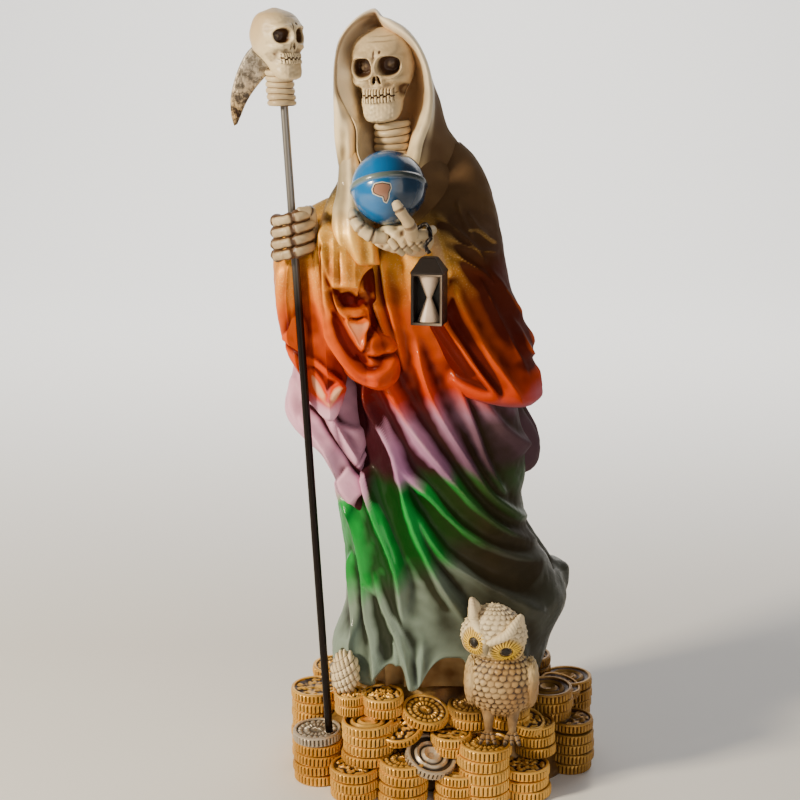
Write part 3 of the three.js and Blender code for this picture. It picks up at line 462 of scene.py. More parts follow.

# %% [markdown]
# ## Paint
# The robe is sprayed in seven bands, one above the other. Each band has a bright colour for the ridges
# and a dark one for the valleys, and the mark "hollow", worked out with each skin, chooses between them.
# The dark valley colour is partly the dark base coat and partly painted shade.
# Soft noise moves the borders of the bands up and down, as a spray can does.

# %% Building node graphs
class Graph:
    """Adds nodes to a tree. Values that are sockets are linked, the rest are set."""

    def __init__(self, tree):
        self.tree = tree

    def feed(self, socket, value):
        """Links a socket to another one, or sets it. Six hex digits are a colour."""
        if isinstance(value, bpy.types.NodeSocket):
            self.tree.links.new(value, socket)
        else:
            socket.default_value = srgb(value) if isinstance(value, str) else value

    def add(self, kind, values=None, output=0, **settings):
        node = self.tree.nodes.new(kind)
        for name, setting in settings.items():
            setattr(node, name, setting)
        for key, value in (values or {}).items():
            self.feed(node.inputs[key], value)
        return node.outputs[output]

    def math(self, operation, *values, clamp=False):
        return self.add("ShaderNodeMath", dict(enumerate(values)), operation=operation, use_clamp=clamp)

    def plus(self, first, second):
        return self.math("ADD", first, second)

    def times(self, first, second, *others):
        """The product of two or more values."""
        product = self.math("MULTIPLY", first, second)
        return self.times(product, *others) if others else product

    def scaled(self, value, factor, offset, clamp=False):
        """value * factor + offset."""
        return self.math("MULTIPLY_ADD", value, factor, offset, clamp=clamp)

    def most(self, first, second):
        return self.math("MAXIMUM", first, second)

    def mark(self, name):
        return self.add("ShaderNodeAttribute", output=2, attribute_name=name)

    def place(self):
        return self.add("ShaderNodeTexCoord", output=3)

    def axis(self, number):
        """One coordinate of the place in metres: 0 across, 1 to the back, 2 up."""
        return self.add("ShaderNodeSeparateXYZ", {0: self.place()}, output=number)

    def noise(self, scale, detail=3.0, rough=0.5):
        values = {"Scale": scale, "Detail": detail, "Roughness": rough, "Vector": self.place()}
        return self.add("ShaderNodeTexNoise", values)

    def ramp(self, factor, stops):
        node = self.tree.nodes.new("ShaderNodeValToRGB")
        elements = node.color_ramp.elements
        while len(elements) < len(stops):
            elements.new(0.5)
        for element, (position, color) in zip(elements, stops):
            element.position = position
            element.color = srgb(color)
        self.tree.links.new(factor, node.inputs[0])
        return node.outputs[0]

    def range(self, value, low, high, new_low=0.0, new_high=1.0):
        values = {0: value, 1: low, 2: high, 3: new_low, 4: new_high}
        return self.add("ShaderNodeMapRange", values, clamp=True)

    def span(self, value, start, full, fading, end):
        """Rises from 0 at start to 1 at full, and falls again from fading to end."""
        return self.times(self.range(value, start, full), self.range(value, end, fading))

    def mix(self, factor, first, second):
        return self.add("ShaderNodeMix", {0: factor, 6: first, 7: second}, 2, data_type="RGBA")


def srgb(text):
    """A color from six hex digits: each channel c becomes ((c + 0.055) / 1.055)^2.4."""
    channels = [int(text[i:i + 2], 16) / 255 for i in (0, 2, 4)]
    linear = [c / 12.92 if c < 0.04045 else ((c + 0.055) / 1.055) ** 2.4 for c in channels]
    return (*linear, 1.0)


def material(name, paint, **constants):
    """A material whose sockets are fed by paint(graph), with its constants set on the shader itself.
    The last thing that paint gives is a bump: its height, strength and distance."""
    made = bpy.data.materials.new(name)
    made.use_nodes = True
    shader = made.node_tree.nodes["Principled BSDF"]
    for key, value in constants.items():
        shader.inputs[key.replace("_", " ")].default_value = value
    graph = Graph(made.node_tree)
    fed, (height, strength, distance) = paint(graph)
    for key, value in fed.items():
        graph.feed(shader.inputs[key], value)
    values = {"Strength": strength, "Distance": distance, "Height": height}
    graph.feed(shader.inputs["Normal"], graph.add("ShaderNodeBump", values))
    return made


# %% A shared effect
def wash_and_shade_tree():
    """A group that darkens by the mark "hollow": hollow + amount * noise, from low to high; a wash on bone,
    coins and owl, and on the robe partly base coat and partly painted shade.
    """
    tree = bpy.data.node_groups.new("wash_and_shade", "ShaderNodeTree")
    for name, start in (("Hollow", 0.0), ("Scale", 90.0), ("Amount", 0.5), ("Low", 0.2), ("High", 0.9)):
        tree.interface.new_socket(name, in_out="INPUT", socket_type="NodeSocketFloat").default_value = start
    tree.interface.new_socket("Wash_and_shade_amount", in_out="OUTPUT", socket_type="NodeSocketFloat")
    g = Graph(tree)
    given = tree.nodes.new("NodeGroupInput").outputs
    uneven = g.scaled(g.noise(given["Scale"], 4, 0.6), given["Amount"], given["Hollow"])
    wash = g.range(uneven, given["Low"], given["High"])
    tree.links.new(wash, tree.nodes.new("NodeGroupOutput").inputs["Wash_and_shade_amount"])
    return tree


wash_and_shade = wash_and_shade_tree()


def washed_and_shaded(g, hollow, scale, amount, low, high):
    """The group as one node of a material."""
    values = {"Hollow": hollow, "Scale": scale, "Amount": amount, "Low": low, "High": high}
    return g.add("ShaderNodeGroup", values, node_tree=wash_and_shade)


# %% The sprayed bands
BRIGHT = [(0.0, "84988e"), (0.245, "7a8c7e"), (0.283, "128a32"), (0.378, "089c3c"), (0.404, "ae7ba6"),
          (0.488, "c48fb0"), (0.522, "cf3a00"), (0.62, "e66410"), (0.69, "fab448"), (0.75, "f8ca70"),
          (0.79, "e6c284"), (0.83, "f6dfb2"), (0.93, "fdeac6"), (1.0, "feedcf")]
# The valley colours: partly the dark base coat under the sprayed ridges, partly painted shade
DEEP = [(0.0, "2a302a"), (0.245, "242a1c"), (0.283, "0d3c0e"), (0.378, "0b330b"), (0.404, "2e1016"),
        (0.488, "3c1016"), (0.522, "5a0a00"), (0.64, "600c00"), (0.69, "552405"), (0.75, "40200a"),
        (0.79, "2c170a"), (0.83, "5a4030"), (0.93, "7d5f47"), (1.0, "8a6c54")]
FIGURE_HEIGHT = 0.3


def robe_paint(g):
    side, height, hollow = g.axis(0), g.axis(2), g.mark("hollow")
    # The share of the figure's height, moved by noise, by the lower bands' slope and by the mark "shift"
    tilt = g.times(g.range(side, -0.03, 0.03), g.range(height, 0.14, 0.09, -0.007, -0.03))
    drift = g.plus(g.plus(g.scaled(g.noise(22, 2), 0.026, -0.013), tilt), g.mark("shift"))
    share = g.math("DIVIDE", g.plus(height, g.scaled(hollow, -0.004, drift)), FIGURE_HEIGHT)
    # Each band's valleys take its dark colour, partly base coat and partly painted shade; the red band's
    # valleys are a little darker
    red = g.span(share, 0.49, 0.53, 0.62, 0.7)
    valley = washed_and_shaded(g, g.scaled(red, 0.07, hollow), 60, 0.3, 0.0, 0.5)
    color = g.mix(valley, g.ramp(share, BRIGHT), g.ramp(share, DEEP))
    # Painted highlights where the mark hollow is below -0.9, mostly where strokes of painted highlight push
    # it there, and a warmer lilac at the left
    ridge = g.mix(g.range(height, 0.09, 0.12), "c4c8ba", "ffd0a8")
    color = g.mix(g.times(g.range(hollow, -0.9, -1.7), 0.7), color, ridge)
    lilac = g.times(g.range(side, -0.02, -0.042), g.span(share, 0.38, 0.41, 0.49, 0.51))
    color = g.mix(g.times(lilac, g.scaled(valley, -0.6, 0.6)), color, "ffc4de")
    # Painted shade on the right side; a dark spray on the right shoulder, deepened by painted shade; and
    # painted shade at the hood's left edge
    painted_shade_right = g.range(g.scaled(g.noise(26, 3), 0.02, side), -0.002, 0.026)
    depth = g.plus(g.range(height, 0.145, 0.158, 0.88, 0.26), g.range(height, 0.172, 0.2, 0.0, 0.24))
    color = g.mix(g.times(painted_shade_right, depth), color, "2f2617")
    edge = g.range(g.scaled(g.noise(30, 3), 0.012, side), -0.002, 0.008)
    shoulder_spray_and_shade = g.most(g.times(g.span(height, 0.205, 0.224, 0.268, 0.288), edge), g.mark("soot"))
    color = g.mix(g.times(shoulder_spray_and_shade, 0.93), color, "5c4430")
    painted_shade_hood_edge = g.range(g.scaled(g.noise(60, 3), 0.004, side), -0.0345, -0.0385)
    color = g.mix(g.times(g.span(height, 0.222, 0.232, 0.243, 0.252), painted_shade_hood_edge, 0.7), color, "4a4638")
    # The lining, and gold flecks on the ridges
    hem = g.mix(g.range(g.noise(60, 3), 0.35, 0.65), "6a4c2c", "c6a878")
    color = g.mix(g.mark("lining"), color, g.mix(g.range(height, 0.06, 0.1), hem, "f6cc9a"))
    gold = g.span(share, 0.62, 0.69, 0.77, 0.81)
    clear = g.times(g.scaled(valley, -1.0, 1.0), g.scaled(shoulder_spray_and_shade, -0.4, 0.4))
    color = g.mix(g.times(gold, g.range(g.noise(1400, 2), 0.56, 0.66), clear), color, "ffe7a0")
    # A coat of varnish, thinner and rougher where shade and the dark spray are painted, in the valleys and at
    # the far left
    painted_shade_and_spray = g.most(painted_shade_right, shoulder_spray_and_shade)
    rough = g.scaled(painted_shade_and_spray, 0.25, g.range(g.noise(180, 4), 0.3, 0.7, 0.4, 0.56))
    coat = g.scaled(painted_shade_and_spray, -0.3, g.plus(g.range(share, 0.4, 0.36, 0.0, 0.3), 0.26), clamp=True)
    coat = g.times(coat, g.range(side, -0.044, -0.03, 0.1, 1.0), g.range(valley, 0.2, 0.9, 1.0, 0.3))
    fed = {"Base Color": color, "Roughness": rough, "Metallic": g.times(gold, 0.45), "Coat Weight": coat}
    return fed, (g.noise(900, 2), 0.12, 0.0006)


robe_finish = material("robe", robe_paint, Coat_Roughness=0.07, Specular_IOR_Level=0.08)


# %% Bone, coins and globe
def bone_paint(g):
    clean = g.mix(g.range(g.noise(45, 4), 0.3, 0.7), "c2a478", "fae6bc")
    color = g.mix(washed_and_shaded(g, g.mark("hollow"), 90, 0.6, 0.2, 0.85), clean, "4c301b")
    color = g.mix(g.times(g.range(g.noise(26, 3), 0.45, 0.75), 0.35), color, "8a6a46")
    return {"Base Color": color, "Roughness": 0.42}, (g.noise(420, 4), 0.22, 0.0008)


def coin_paint(g):
    worn = washed_and_shaded(g, g.mark("hollow"), 120, 0.6, 0.25, 0.95)
    color = g.mix(worn, g.mix(g.range(g.noise(50, 3), 0.35, 0.65), "cc9436", "fcc660"), "2a1605")
    color = g.mix(g.times(g.range(g.noise(24, 4), 0.5, 0.75), 0.34), color, "5a3c12")
    side = g.axis(0)
    # Painted shade on the coins at the back right, and a painted shadow on those under the robe's hem
    shade = g.times(g.range(side, 0.018, 0.036), g.range(g.axis(1), -0.04, -0.02), 0.6)
    under = g.times(g.range(side, -0.01, -0.002), g.range(g.axis(2), 0.029, 0.034), 0.72)
    color = g.mix(g.most(shade, under), color, "42200c")
    color = g.mix(g.mark("silver"), color, g.mix(worn, "b9b3a6", "3a3026"))
    fed = {"Base Color": color, "Metallic": g.range(worn, 0.1, 0.8, 0.5, 0.15), "Roughness": 0.4}
    return fed, (g.noise(500, 3), 0.25, 0.0007)


def globe_paint(g):
    land = g.mark("land")
    color = g.mix(g.range(land, -0.35, -0.15), g.mix(g.noise(60, 3), "0062a6", "0a7cc4"), "f2ead6")
    color = g.mix(g.range(land, 0.0, 0.12), color, "2a1a12")
    color = g.mix(g.range(land, 0.3, 0.5), color, "b07f68")
    color = g.mix(g.mark("band"), color, g.mix(g.noise(80, 3), "7f9090", "58655c"))
    # Painted shade on the globe's right side
    painted_shade_right = g.range(g.scaled(g.noise(60, 3), 0.01, g.axis(0)), -0.024, -0.012)
    color = g.mix(g.times(painted_shade_right, 0.88), color, "10181c")
    return {"Base Color": color, "Roughness": 0.22}, (g.noise(160, 3), 0.1, 0.0006)


bone_finish = material("bone", bone_paint)
coin_finish = material("coins", coin_paint)
globe_finish = material("globe", globe_paint, Coat_Weight=0.6, Coat_Roughness=0.1)


# %% Owl, lantern, rod and blade
def owl_paint(g):
    wash = washed_and_shaded(g, g.mark("hollow"), 160, 0.7, 0.2, 0.65)
    height = g.axis(2)
    color = g.mix(wash, g.mix(g.range(g.noise(70, 3), 0.3, 0.7), "b08c54", "ecd8a4"), "38200e")
    color = g.mix(g.times(g.range(height, 0.062, 0.07), 0.5), color, g.mix(wash, "fff0d0", "5a3c20"))
    belly = g.range(g.scaled(g.noise(90, 3), 0.012, height), 0.066, 0.052)
    color = g.mix(g.times(belly, 0.7), color, g.mix(wash, "94642c", "2c1808"))
    color = g.mix(g.times(g.mark("yellow"), 0.85), color, g.mix(wash, "f2c410", "6a4408"))
    color = g.mix(g.mark("dark"), color, "140c07")
    return {"Base Color": color, "Roughness": 0.5}, (g.noise(600, 3), 0.3, 0.0006)


def dark_paint(g):
    color = g.mix(g.noise(140, 4), "0e0806", "22160e")
    color = g.mix(g.mark("white"), color, g.mix(g.noise(150, 3), "b89880", "f0dcc4"))
    return {"Base Color": color, "Roughness": 0.35}, (g.noise(500, 3), 0.1, 0.0004)


def rod_paint(g):
    color = g.mix(g.range(g.axis(2), 0.19, 0.235), "1c1512", "8c8884")
    return {"Base Color": color, "Roughness": 0.34}, (g.noise(300, 2), 0.1, 0.0003)


def blade_paint(g):
    sparkle = g.noise(420, 4, 0.7)
    lower = g.range(g.scaled(g.noise(90, 3), 0.02, g.axis(2)), 0.292, 0.272)
    metal = g.mix(g.range(sparkle, 0.42, 0.58), "7c7468", "c4bdb0")
    grit = g.mix(g.range(sparkle, 0.45, 0.58), "3a2614", "c8a878")
    color = g.mix(lower, metal, grit)
    return {"Base Color": color, "Roughness": 0.35, "Metallic": 0.5}, (sparkle, 0.6, 0.001)


owl_finish = material("owl", owl_paint)
lantern_finish = material("lantern", dark_paint)
wire_finish = material("wire", dark_paint, Metallic=0.4)
rod_finish = material("rod", rod_paint, Metallic=0.75)
blade_finish = material("blade", blade_paint)
print("paint ready")

# %% [markdown]
# ## The rod's line
# The rod is straight. The right sleeve lies just behind it, so its skin is pushed back along the line.

# %% The rod's line
ROD_START = np.array([-45.96, -31.46, 22.1])
ROD_TOP = ROD_START + (-15.3, 13.6, 253.9)


def on_rod(height):
    """The rod's middle at one height or several, on the straight line from its start to its top."""
    share = (np.asarray(height) - ROD_START[2]) / (ROD_TOP[2] - ROD_START[2])
    return ROD_START + (ROD_TOP - ROD_START) * share[..., None]


def behind_rod(skin, gap=1.9):
    """Moves points near the rod back to y >= y of the rod + gap - 0.05 d^2, d being the distance across."""
    x, y, z = skin.points.T
    rod_x, rod_y, _ = on_rod(z).T
    limit = rod_y + gap - 0.05 * (x - rod_x) ** 2
    in_reach = (np.abs(x - rod_x) < 9) & (y < rod_y + 8)
    skin.points[:, 1] = np.where(in_reach, np.maximum(y, limit), y)
    return skin


print("rod from", ROD_START.tolist(), "to", ROD_TOP.tolist())

# %% [markdown]
# ## The robe
# The robe is one tall round from the coins to the neck. Its folds start under the left sleeve and fan
# out to the lower right, where the cloth trails over the coins. The hem is lifted in arches that show
# the lining.

# %% The hem and the rows of the robe
def hem_lift(x, y):
    """Two arches exp(-d^4) at the front and a rise at the left, with low waves behind."""
    front = 11 * bell((x + 21) / 6, 4) + 14.5 * bell((x + 0.5) / 9, 4) + 13 * step(-33, -43, x)
    behind = 2 + 2 * np.cos(x / 6)
    return front * step(-6, -18, y) + behind * step(-6, 6, y)


ROBE_ROWS = [
    [38, -45.5, 39.5, -34, 33], [46, -45.5, 41.5, -34, 33], [52, -44.4, 43, -34, 33],
    [58, -42, 45.5, -33.6, 33], [64, -39.8, 48.4, -33.2, 32.4], [70, -38.7, 49, -32.6, 31.7],
    [76, -38.6, 46.5, -31.8, 31], [84, -38.8, 42, -30.8, 30], [96, -40.8, 33.5, -29, 28],
    [108, -42, 30.5, -28, 27], [122, -41, 32, -27, 26], [150, -38, 28, -26, 25], [180, -38, 24, -25, 24],
    [205, -38, 18, -22, 23], [222, -38, 13, -18, 20], [236, -36, 7, -15, 17], [246, -31, -2, -12, 12],
]
HEM = 39.7
ROBE_RIM = [(9, 0, 38.5), (8.6, 3.5, None), (7.5, 5, None), (3.2, 5, None), (2.7, 2.4, None), (2.6, 1, None),
            (2, 0.1, None), (1.2, -0.2, None), (0.4, 0.1, None)]

# %% Folds of the robe
ROBE_FOLDS = [
    fold([(-31, 172), (-27.6, 154.7), (-24.4, 147.6), (-20.8, 140.5), (-17.6, 131.8), (-14.6, 115.6),
          (-10.3, 102), (-4.9, 90.5), (1.3, 79.7), (6.4, 70.7), (13, 58)], 3.6, 2.0, 7.5, 1.5),
    fold([(-17.5, 140), (-17.2, 133.4), (-14.6, 127.3), (-10.4, 122.5), (-5, 116.7), (0.6, 109.7),
          (9.5, 101.7), (19.9, 95.2), (33.6, 88.7), (46, 84)], 2.6, 1.9, 5.5, 1.8, (0.2, 0.2)),
    fold([(-23, 172), (-21, 162.5), (-18, 156), (-13.5, 147.1), (-8.6, 139.3), (-2.8, 131.1), (2.9, 122.8),
          (10.1, 113.3), (19.8, 103.3), (33.5, 94), (42, 91)], 3.6, 2.2, 7, 1.3),
    fold([(-12.4, 180), (-7.5, 161.2), (-1.8, 148), (4, 137.1), (9.7, 127), (16.4, 116.6), (28, 105.4),
          (38.9, 98)], 2.4, 1.7, 5.5, 1.4),
    fold([(1, 168), (4.5, 158), (9.5, 144.3), (13.9, 131.1), (19, 121), (25, 113)], 1.9, 1.4, 4, 1.3),
    fold([(8, 164), (12, 155), (19.5, 143.8), (28.1, 134.9), (34, 131)], 3.4, 2, 5, 1.3),
    fold([(-15.5, 128), (-14.2, 119), (-8.4, 106), (-0.7, 94.5), (9.7, 86.9), (20, 80.3), (30.3, 73.6),
          (42, 66)], 3.4, 1.7, 5.5, 1.7, (0.35, 0.15)),
    fold([(-30, 128), (-28.7, 118.7), (-24.7, 106.7), (-19.2, 92.3), (-16.5, 81.4),
          (-16.5, 58)], 2.6, 1.7, 6, 1.3),
    fold([(-41, 122), (-39.7, 113.6), (-34.9, 103.4), (-32.2, 91.9), (-29.6, 81),
          (-24.8, 74)], 2.2, 1.5, 3.6, 1.2),
    fold([(-36.5, 92), (-36.1, 78.1), (-34.7, 61.6), (-35.5, 55.4), (-38, 46)], 1.7, 1.3, 3.4),
    fold([(-34, 98), (-31.6, 86), (-30.3, 77), (-28.8, 65.3), (-26.9, 56.2), (-26.2, 40)], 1.7, 1.3, 4.2, 1.3,
         (0.5, 0.05)),
    fold([(-30, 92), (-27, 82), (-23.6, 73.9), (-19.6, 66), (-16.2, 57), (-14, 48), (-13, 40)], 1.9, 1.4, 4.4,
         1.3, (0.5, 0.05)),
    fold([(-26.8, 116.7), (-22.1, 104.2), (-17.9, 92.9), (-16.1, 82.8), (-16.1, 70), (-16.3, 64.2)], 1.5, 1.2,
         3.6, 1.3, (0.2, 0.4)),
    fold([(-20, 62), (-18.6, 50), (-18.2, 40)], 1.2, 1.1, 2.4),
    fold([(-9, 64), (-9.5, 52), (-10, 40)], 1.5, 1.3, 2.2, 1.3, (0.6, 0.05)),
    fold([(11, 70), (12, 54), (12.5, 40)], 2.6, 2.2, 3.2, 1.3),
    fold([(27, 72), (29, 55), (30, 40)], 3.6, 3, 3, 1.2),
    fold([(-10, 108), (-3, 92), (5, 76), (10, 66)], 1.2, 1, 1.2, 1.4),
    fold([(-32, 218), (-30, 205), (-27.5, 190), (-26, 176), (-23.5, 160)], 1.6, 1.3, 3.4),
    fold([(-28.5, 216), (-27.2, 201.5), (-25.6, 192.9), (-22.8, 184.2), (-20.6, 177.4),
          (-19.1, 166)], 2, 1.6, 5.5, 1.2),
    fold([(-24.5, 212), (-22.5, 196), (-18.5, 180), (-16, 164)], 1.4, 1.2, 3),
    fold([(-36, 160), (-34, 150), (-33, 138), (-31, 122)], 3, 3, -2.5),
    fold([(-40.5, 90), (-38, 76), (-36.6, 64)], 1.2, 1.2, 0.8),
]
# Painted shade beside the robe's folds and under the right sleeve and the cape's tail
ROBE_PAINTED_SHADE = [
    patch([(-45, 168), (-37, 164), (-29.5, 161), (-27, 146), (-27.5, 130), (-25, 119), (-27, 118), (-32, 125),
           (-35, 134), (-42, 140), (-47, 150)], 0.9, 3.0),
    patch([(-33.4, 114.2), (-26.8, 115.5), (-23.3, 103.6), (-20.3, 92.2), (-19.1, 82.1), (-22.1, 75.6),
           (-26.9, 83.3), (-30.5, 98.6)], 0.22, 2.5),
    patch([(-24.4, 117.6), (-18.8, 123.8), (-16, 113.9), (-12.6, 102.7), (-7.6, 91.3), (-3.6, 82.4),
           (0.4, 74.7), (-5.2, 79.9), (-13.7, 92.6), (-19.1, 103.9)], 0.6, 2.5),
    patch([(-10.2, 118.9), (-5.4, 116.4), (3, 107.7), (11.5, 98.9), (24.8, 92.6), (39.3, 87.5), (29.9, 80),
           (15.3, 86), (7.4, 92.4), (0, 100.4), (-6, 108.6)], 0.85, 1.8),
    patch([(-36.2, 152), (-28.6, 154.3), (-23.4, 144.1), (-20.6, 128.4), (-21.6, 118.4), (-28.7, 116.4),
           (-31, 128.4), (-33.2, 140.2)], 0.75, 1.5),
    patch([(-5.5, 129.1), (1.7, 121.7), (8.9, 115.5), (22.1, 105.5), (39.1, 95.5), (31.9, 94.2), (19.8, 98),
           (7.8, 106.8), (-0.6, 115.5)], 0.7, 2.0),
]

# %% The robe's skin
def robe_pleats(angle, z):
    """Folds round the sides and back: 2 cos(9a + z/26), with the train's flare added at the right side."""
    train = track([[44, 0], [56, 0.6], [62, 2], [70, 4], [77.4, 7], [79.2, 5], [80.4, 1], [88, 0]])
    waves = 2 * np.cos(9 * angle + z / 26) * step(160, 90, z)
    waves += 0.7 * np.cos(23 * angle - z / 19) * step(150, 70, z)
    return waves + train(z) * bell((angle - 0.12) / 0.42)


def robe_part(name, skin):
    """A skin of the figure's cloth."""
    shown(name, skin, robe_finish, "painted_robe", "robed_figure")


# The rows start where the hem is, on the smooth lines through all of them
robe_rows = [[HEM] + [value(HEM) for value in tracks(ROBE_ROWS)]] + [row for row in ROBE_ROWS if row[0] > HEM]
robe = draped(robe_rows, columns=320, rings=200, strokes=ROBE_FOLDS, power=0.92, crowding=0.55,
              hem=hem_lift, rim=ROBE_RIM, pleats=robe_pleats, dark=ROBE_PAINTED_SHADE)
# The robe's upper right takes the dark shoulder spray, deepened there as painted shade
robe.marks["soot"] = step(214, 226, robe.points[:, 2]) * step(-20, -12, robe.points[:, 0])
robe_part("robe", robe)

# %% [markdown]
# ## Drapes and sleeves
# The right sleeve hangs open in a long point, with a folded drape in front of it and the cape's tail
# below. The left sleeve is broad and ends above the lilac folds. Behind, the cape falls in pleats. The
# small turned-over folds are patches: raised or sunken areas with an outline of their own.

# %% Right sleeve
# Its dark strokes paint the rod's shadow and, below zero, a highlight in the turned-out lip
right_sleeve = draped([
    [146, -46, -43, -22, -14], [150, -49, -41, -25, -9], [155, -52.5, -40, -26, -6],
    [163, -56.5, -38, -27, -2], [174, -61, -37, -26, 2], [184, -63.5, -36, -25, 5], [194, -65.5, -36, -24, 7],
    [206, -66.5, -36, -21, 8], [216, -65, -34, -15, 8], [223, -58, -32, -9, 6], [229, -46, -30, -4, 4],
], columns=200, rings=110, strokes=[
    fold([(-51.5, 214), (-50.1, 196), (-47.3, 185.5), (-44.4, 178.1), (-39, 169.5)], 1.7, 1.2, 3.4),
    fold([(-57, 212), (-58, 196), (-57, 184), (-53, 172), (-48, 167)], 2.0, 1.6, 2.4),
    fold([(-63, 208), (-63.5, 190), (-61, 176), (-55, 162)], 1.6, 1.6, 1.6),
    patch([(-55.8, 187), (-53.5, 182), (-53.6, 174), (-56, 173.2), (-61, 177.4), (-58.5, 183)], 1.8, 0.9),
    fold([(-61.5, 176.5), (-57, 172.6), (-52.5, 170)], 0.9, 0.9, -1.8),
    patch([(-53.5, 170.8), (-46.3, 167.2), (-40.3, 161.6), (-40.6, 155.4), (-44.4, 146.6), (-51.4, 154.4),
           (-54.6, 162)], 2.4, 0.8),
    patch([(-50.6, 167.5), (-46.5, 165.4), (-42.6, 162.2), (-44.5, 159.6), (-46.2, 158.4),
           (-47.6, 162)], -2.0, 0.9),
    fold([(-51.5, 167.5), (-49.6, 162.8), (-47.6, 158), (-45.8, 154.6)], 1.5, 1.1, 1.6),
    fold([(-41.2, 161.4), (-43.4, 158.6), (-45.4, 154.8)], 1.2, 1.3, 1.8),
], dark=[
    patch([(-47, 214), (-56, 214), (-58, 200), (-56, 190), (-51, 178), (-47, 184), (-50, 198)], 0.12, 3.0),
    patch([(-51.5, 164.3), (-47.4, 159.7), (-45.6, 155.1), (-44.1, 156.6), (-43.3, 160.5), (-40.6, 161.3),
           (-40.7, 157.4), (-43.7, 152.7), (-47.5, 153.5), (-51.6, 159.7)], -1.5, 1.9)])
right_sleeve.marks["shift"] = np.full(len(right_sleeve.points), -0.006)
robe_part("right_sleeve", behind_rod(right_sleeve))

# %% Front drape
DRAPE = [
    fold([(-44, 224), (-47.6, 212), (-48.4, 198), (-45.2, 182), (-39.4, 172.2), (-32, 164.4), (-24, 162)],
         1.5, 1.3, 2.2, 1.1, (0.1, 0.1)),
    patch([(-44, 197), (-43, 184), (-38.6, 174.6), (-31.6, 168), (-25.8, 168.6), (-22.4, 172), (-24, 182),
           (-27, 192), (-31, 197), (-38, 199)], -3.2, 1.3),
    patch([(-46.4, 222), (-39.6, 217.5), (-35.6, 214), (-30.2, 209.2), (-28.9, 206), (-32.6, 202),
           (-33.2, 198.6), (-31.2, 195.2), (-35.6, 197.2), (-40.2, 197.2), (-43.6, 201),
           (-45.4, 208)], 1.7, 0.9),
    fold([(-42.4, 219), (-42, 210), (-41.9, 202), (-42.6, 195)], 1.1, 0.9, 0.45),
    fold([(-38.6, 216), (-38, 208), (-37.4, 198)], 1.1, 0.9, 0.35),
    fold([(-40.4, 213), (-40, 205), (-39.8, 199)], 0.5, 0.5, -0.45),
    fold([(-35.4, 211), (-35.2, 205), (-34.9, 198)], 0.7, 0.7, 0.35),
    fold([(-45.4, 216), (-45.6, 204), (-44.4, 192), (-41, 184)], 1.2, 0.9, 2.0),
    patch([(-41, 195.6), (-37, 197.4), (-32.4, 195.4), (-32.4, 200), (-31.6, 203.6), (-29.2, 205),
           (-28.6, 199), (-29.6, 192.6), (-32, 190.8), (-36, 191.2), (-39.8, 192)], -2.2, 1.1),
    fold([(-43.4, 200), (-42.8, 195), (-41.2, 191.2), (-38.4, 188.6), (-35, 187.8)], 1.0, 0.9, 2.2, 1.1,
         (0.2, 0.25)),
    patch([(-40.6, 191.6), (-36, 190.8), (-31, 191.4), (-29, 188.6), (-32, 187.4), (-37.6, 187.8)], 1.6, 1.3),
    patch([(-38.2, 187.2), (-33.2, 186.8), (-29.3, 187.2), (-30.4, 181.4), (-32.2, 175.6),
           (-35.2, 181)], 2.6, 0.8),
    fold([(-38.6, 187.6), (-36, 182.6), (-33.2, 177.2)], 0.6, 0.6, 1.0, 1.0, (0.05, 0.1)),
    fold([(-29.4, 187.6), (-30, 182), (-31.8, 175.8)], 0.8, 0.6, 1.6, 1.0, (0.05, 0.1)),
    fold([(-37.4, 188), (-33.6, 187.3), (-30, 188)], 0.5, 0.5, -1.4, 1.0),
    fold([(-28.6, 192), (-27.4, 185), (-25.6, 180)], 0.8, 0.8, 1.2),
    patch([(-30.6, 177.4), (-28.6, 181), (-24.6, 181.6), (-21, 179), (-20, 175.6), (-23.4, 173.4),
           (-28.4, 173.6)], 3.2, 2.2),
    fold([(-30, 173.6), (-24.6, 172.8), (-20.4, 174.2)], 0.6, 0.6, -1.7),
    patch([(-29.5, 172.6), (-24.4, 171.8), (-20.2, 172.8), (-18.4, 168), (-19.2, 163.2), (-23.6, 161),
           (-28, 163)], 1.8, 1.8),
    fold([(-36, 174), (-31, 169.2), (-26, 168.8)], 0.9, 0.9, -1.4),
]
# Painted shade in the drape's hollows and beside its folds, and a painted highlight, the stroke below zero,
# on a facet under the roll
DRAPE_PAINTED_SHADE_AND_HIGHLIGHT = [
    patch([(-37.6, 186.6), (-33.2, 186.2), (-30, 186.4), (-31, 181.4), (-32.8, 177),
           (-35.2, 181)], -1.2, 1.7),
    patch([(-49, 214), (-43.6, 213), (-40.5, 207.6), (-39.4, 198), (-42.6, 193.4), (-46, 198.4),
           (-48.4, 206.4)], 0.2, 2.0),
    patch([(-40.6, 195.4), (-36.6, 197), (-32.4, 195.2), (-32.2, 200), (-31, 203.6), (-29.2, 204),
           (-28.8, 198), (-30, 192.8), (-32, 191.6), (-36, 191.8), (-39.6, 192.6)], 0.3, 1.4),
    patch([(-43.2, 190), (-40, 186), (-36.6, 180), (-32.6, 174), (-30.8, 171.4), (-36.5, 173.6),
           (-41.4, 181)], 0.75, 1.4),
    patch([(-28.8, 205), (-30.8, 200), (-29.6, 194), (-28.6, 187), (-30.2, 180), (-27.2, 183), (-25.4, 192),
           (-26.4, 202)], 0.5, 1.0),
]
front_drape = draped([
    [160.5, -29, -22, -32, -14], [164, -37, -19.6, -34, -12], [170, -40.5, -19, -35, -10],
    [178, -45, -22, -35, -8], [190, -49.2, -26, -34, -8], [205, -50.2, -28, -31, -6],
    [216, -49.6, -32, -26, -4], [228, -46, -34, -18, -2], [237, -41, -35, -10, -2],
], columns=205, rings=165, strokes=DRAPE, crowding=0.6, dark=DRAPE_PAINTED_SHADE_AND_HIGHLIGHT)
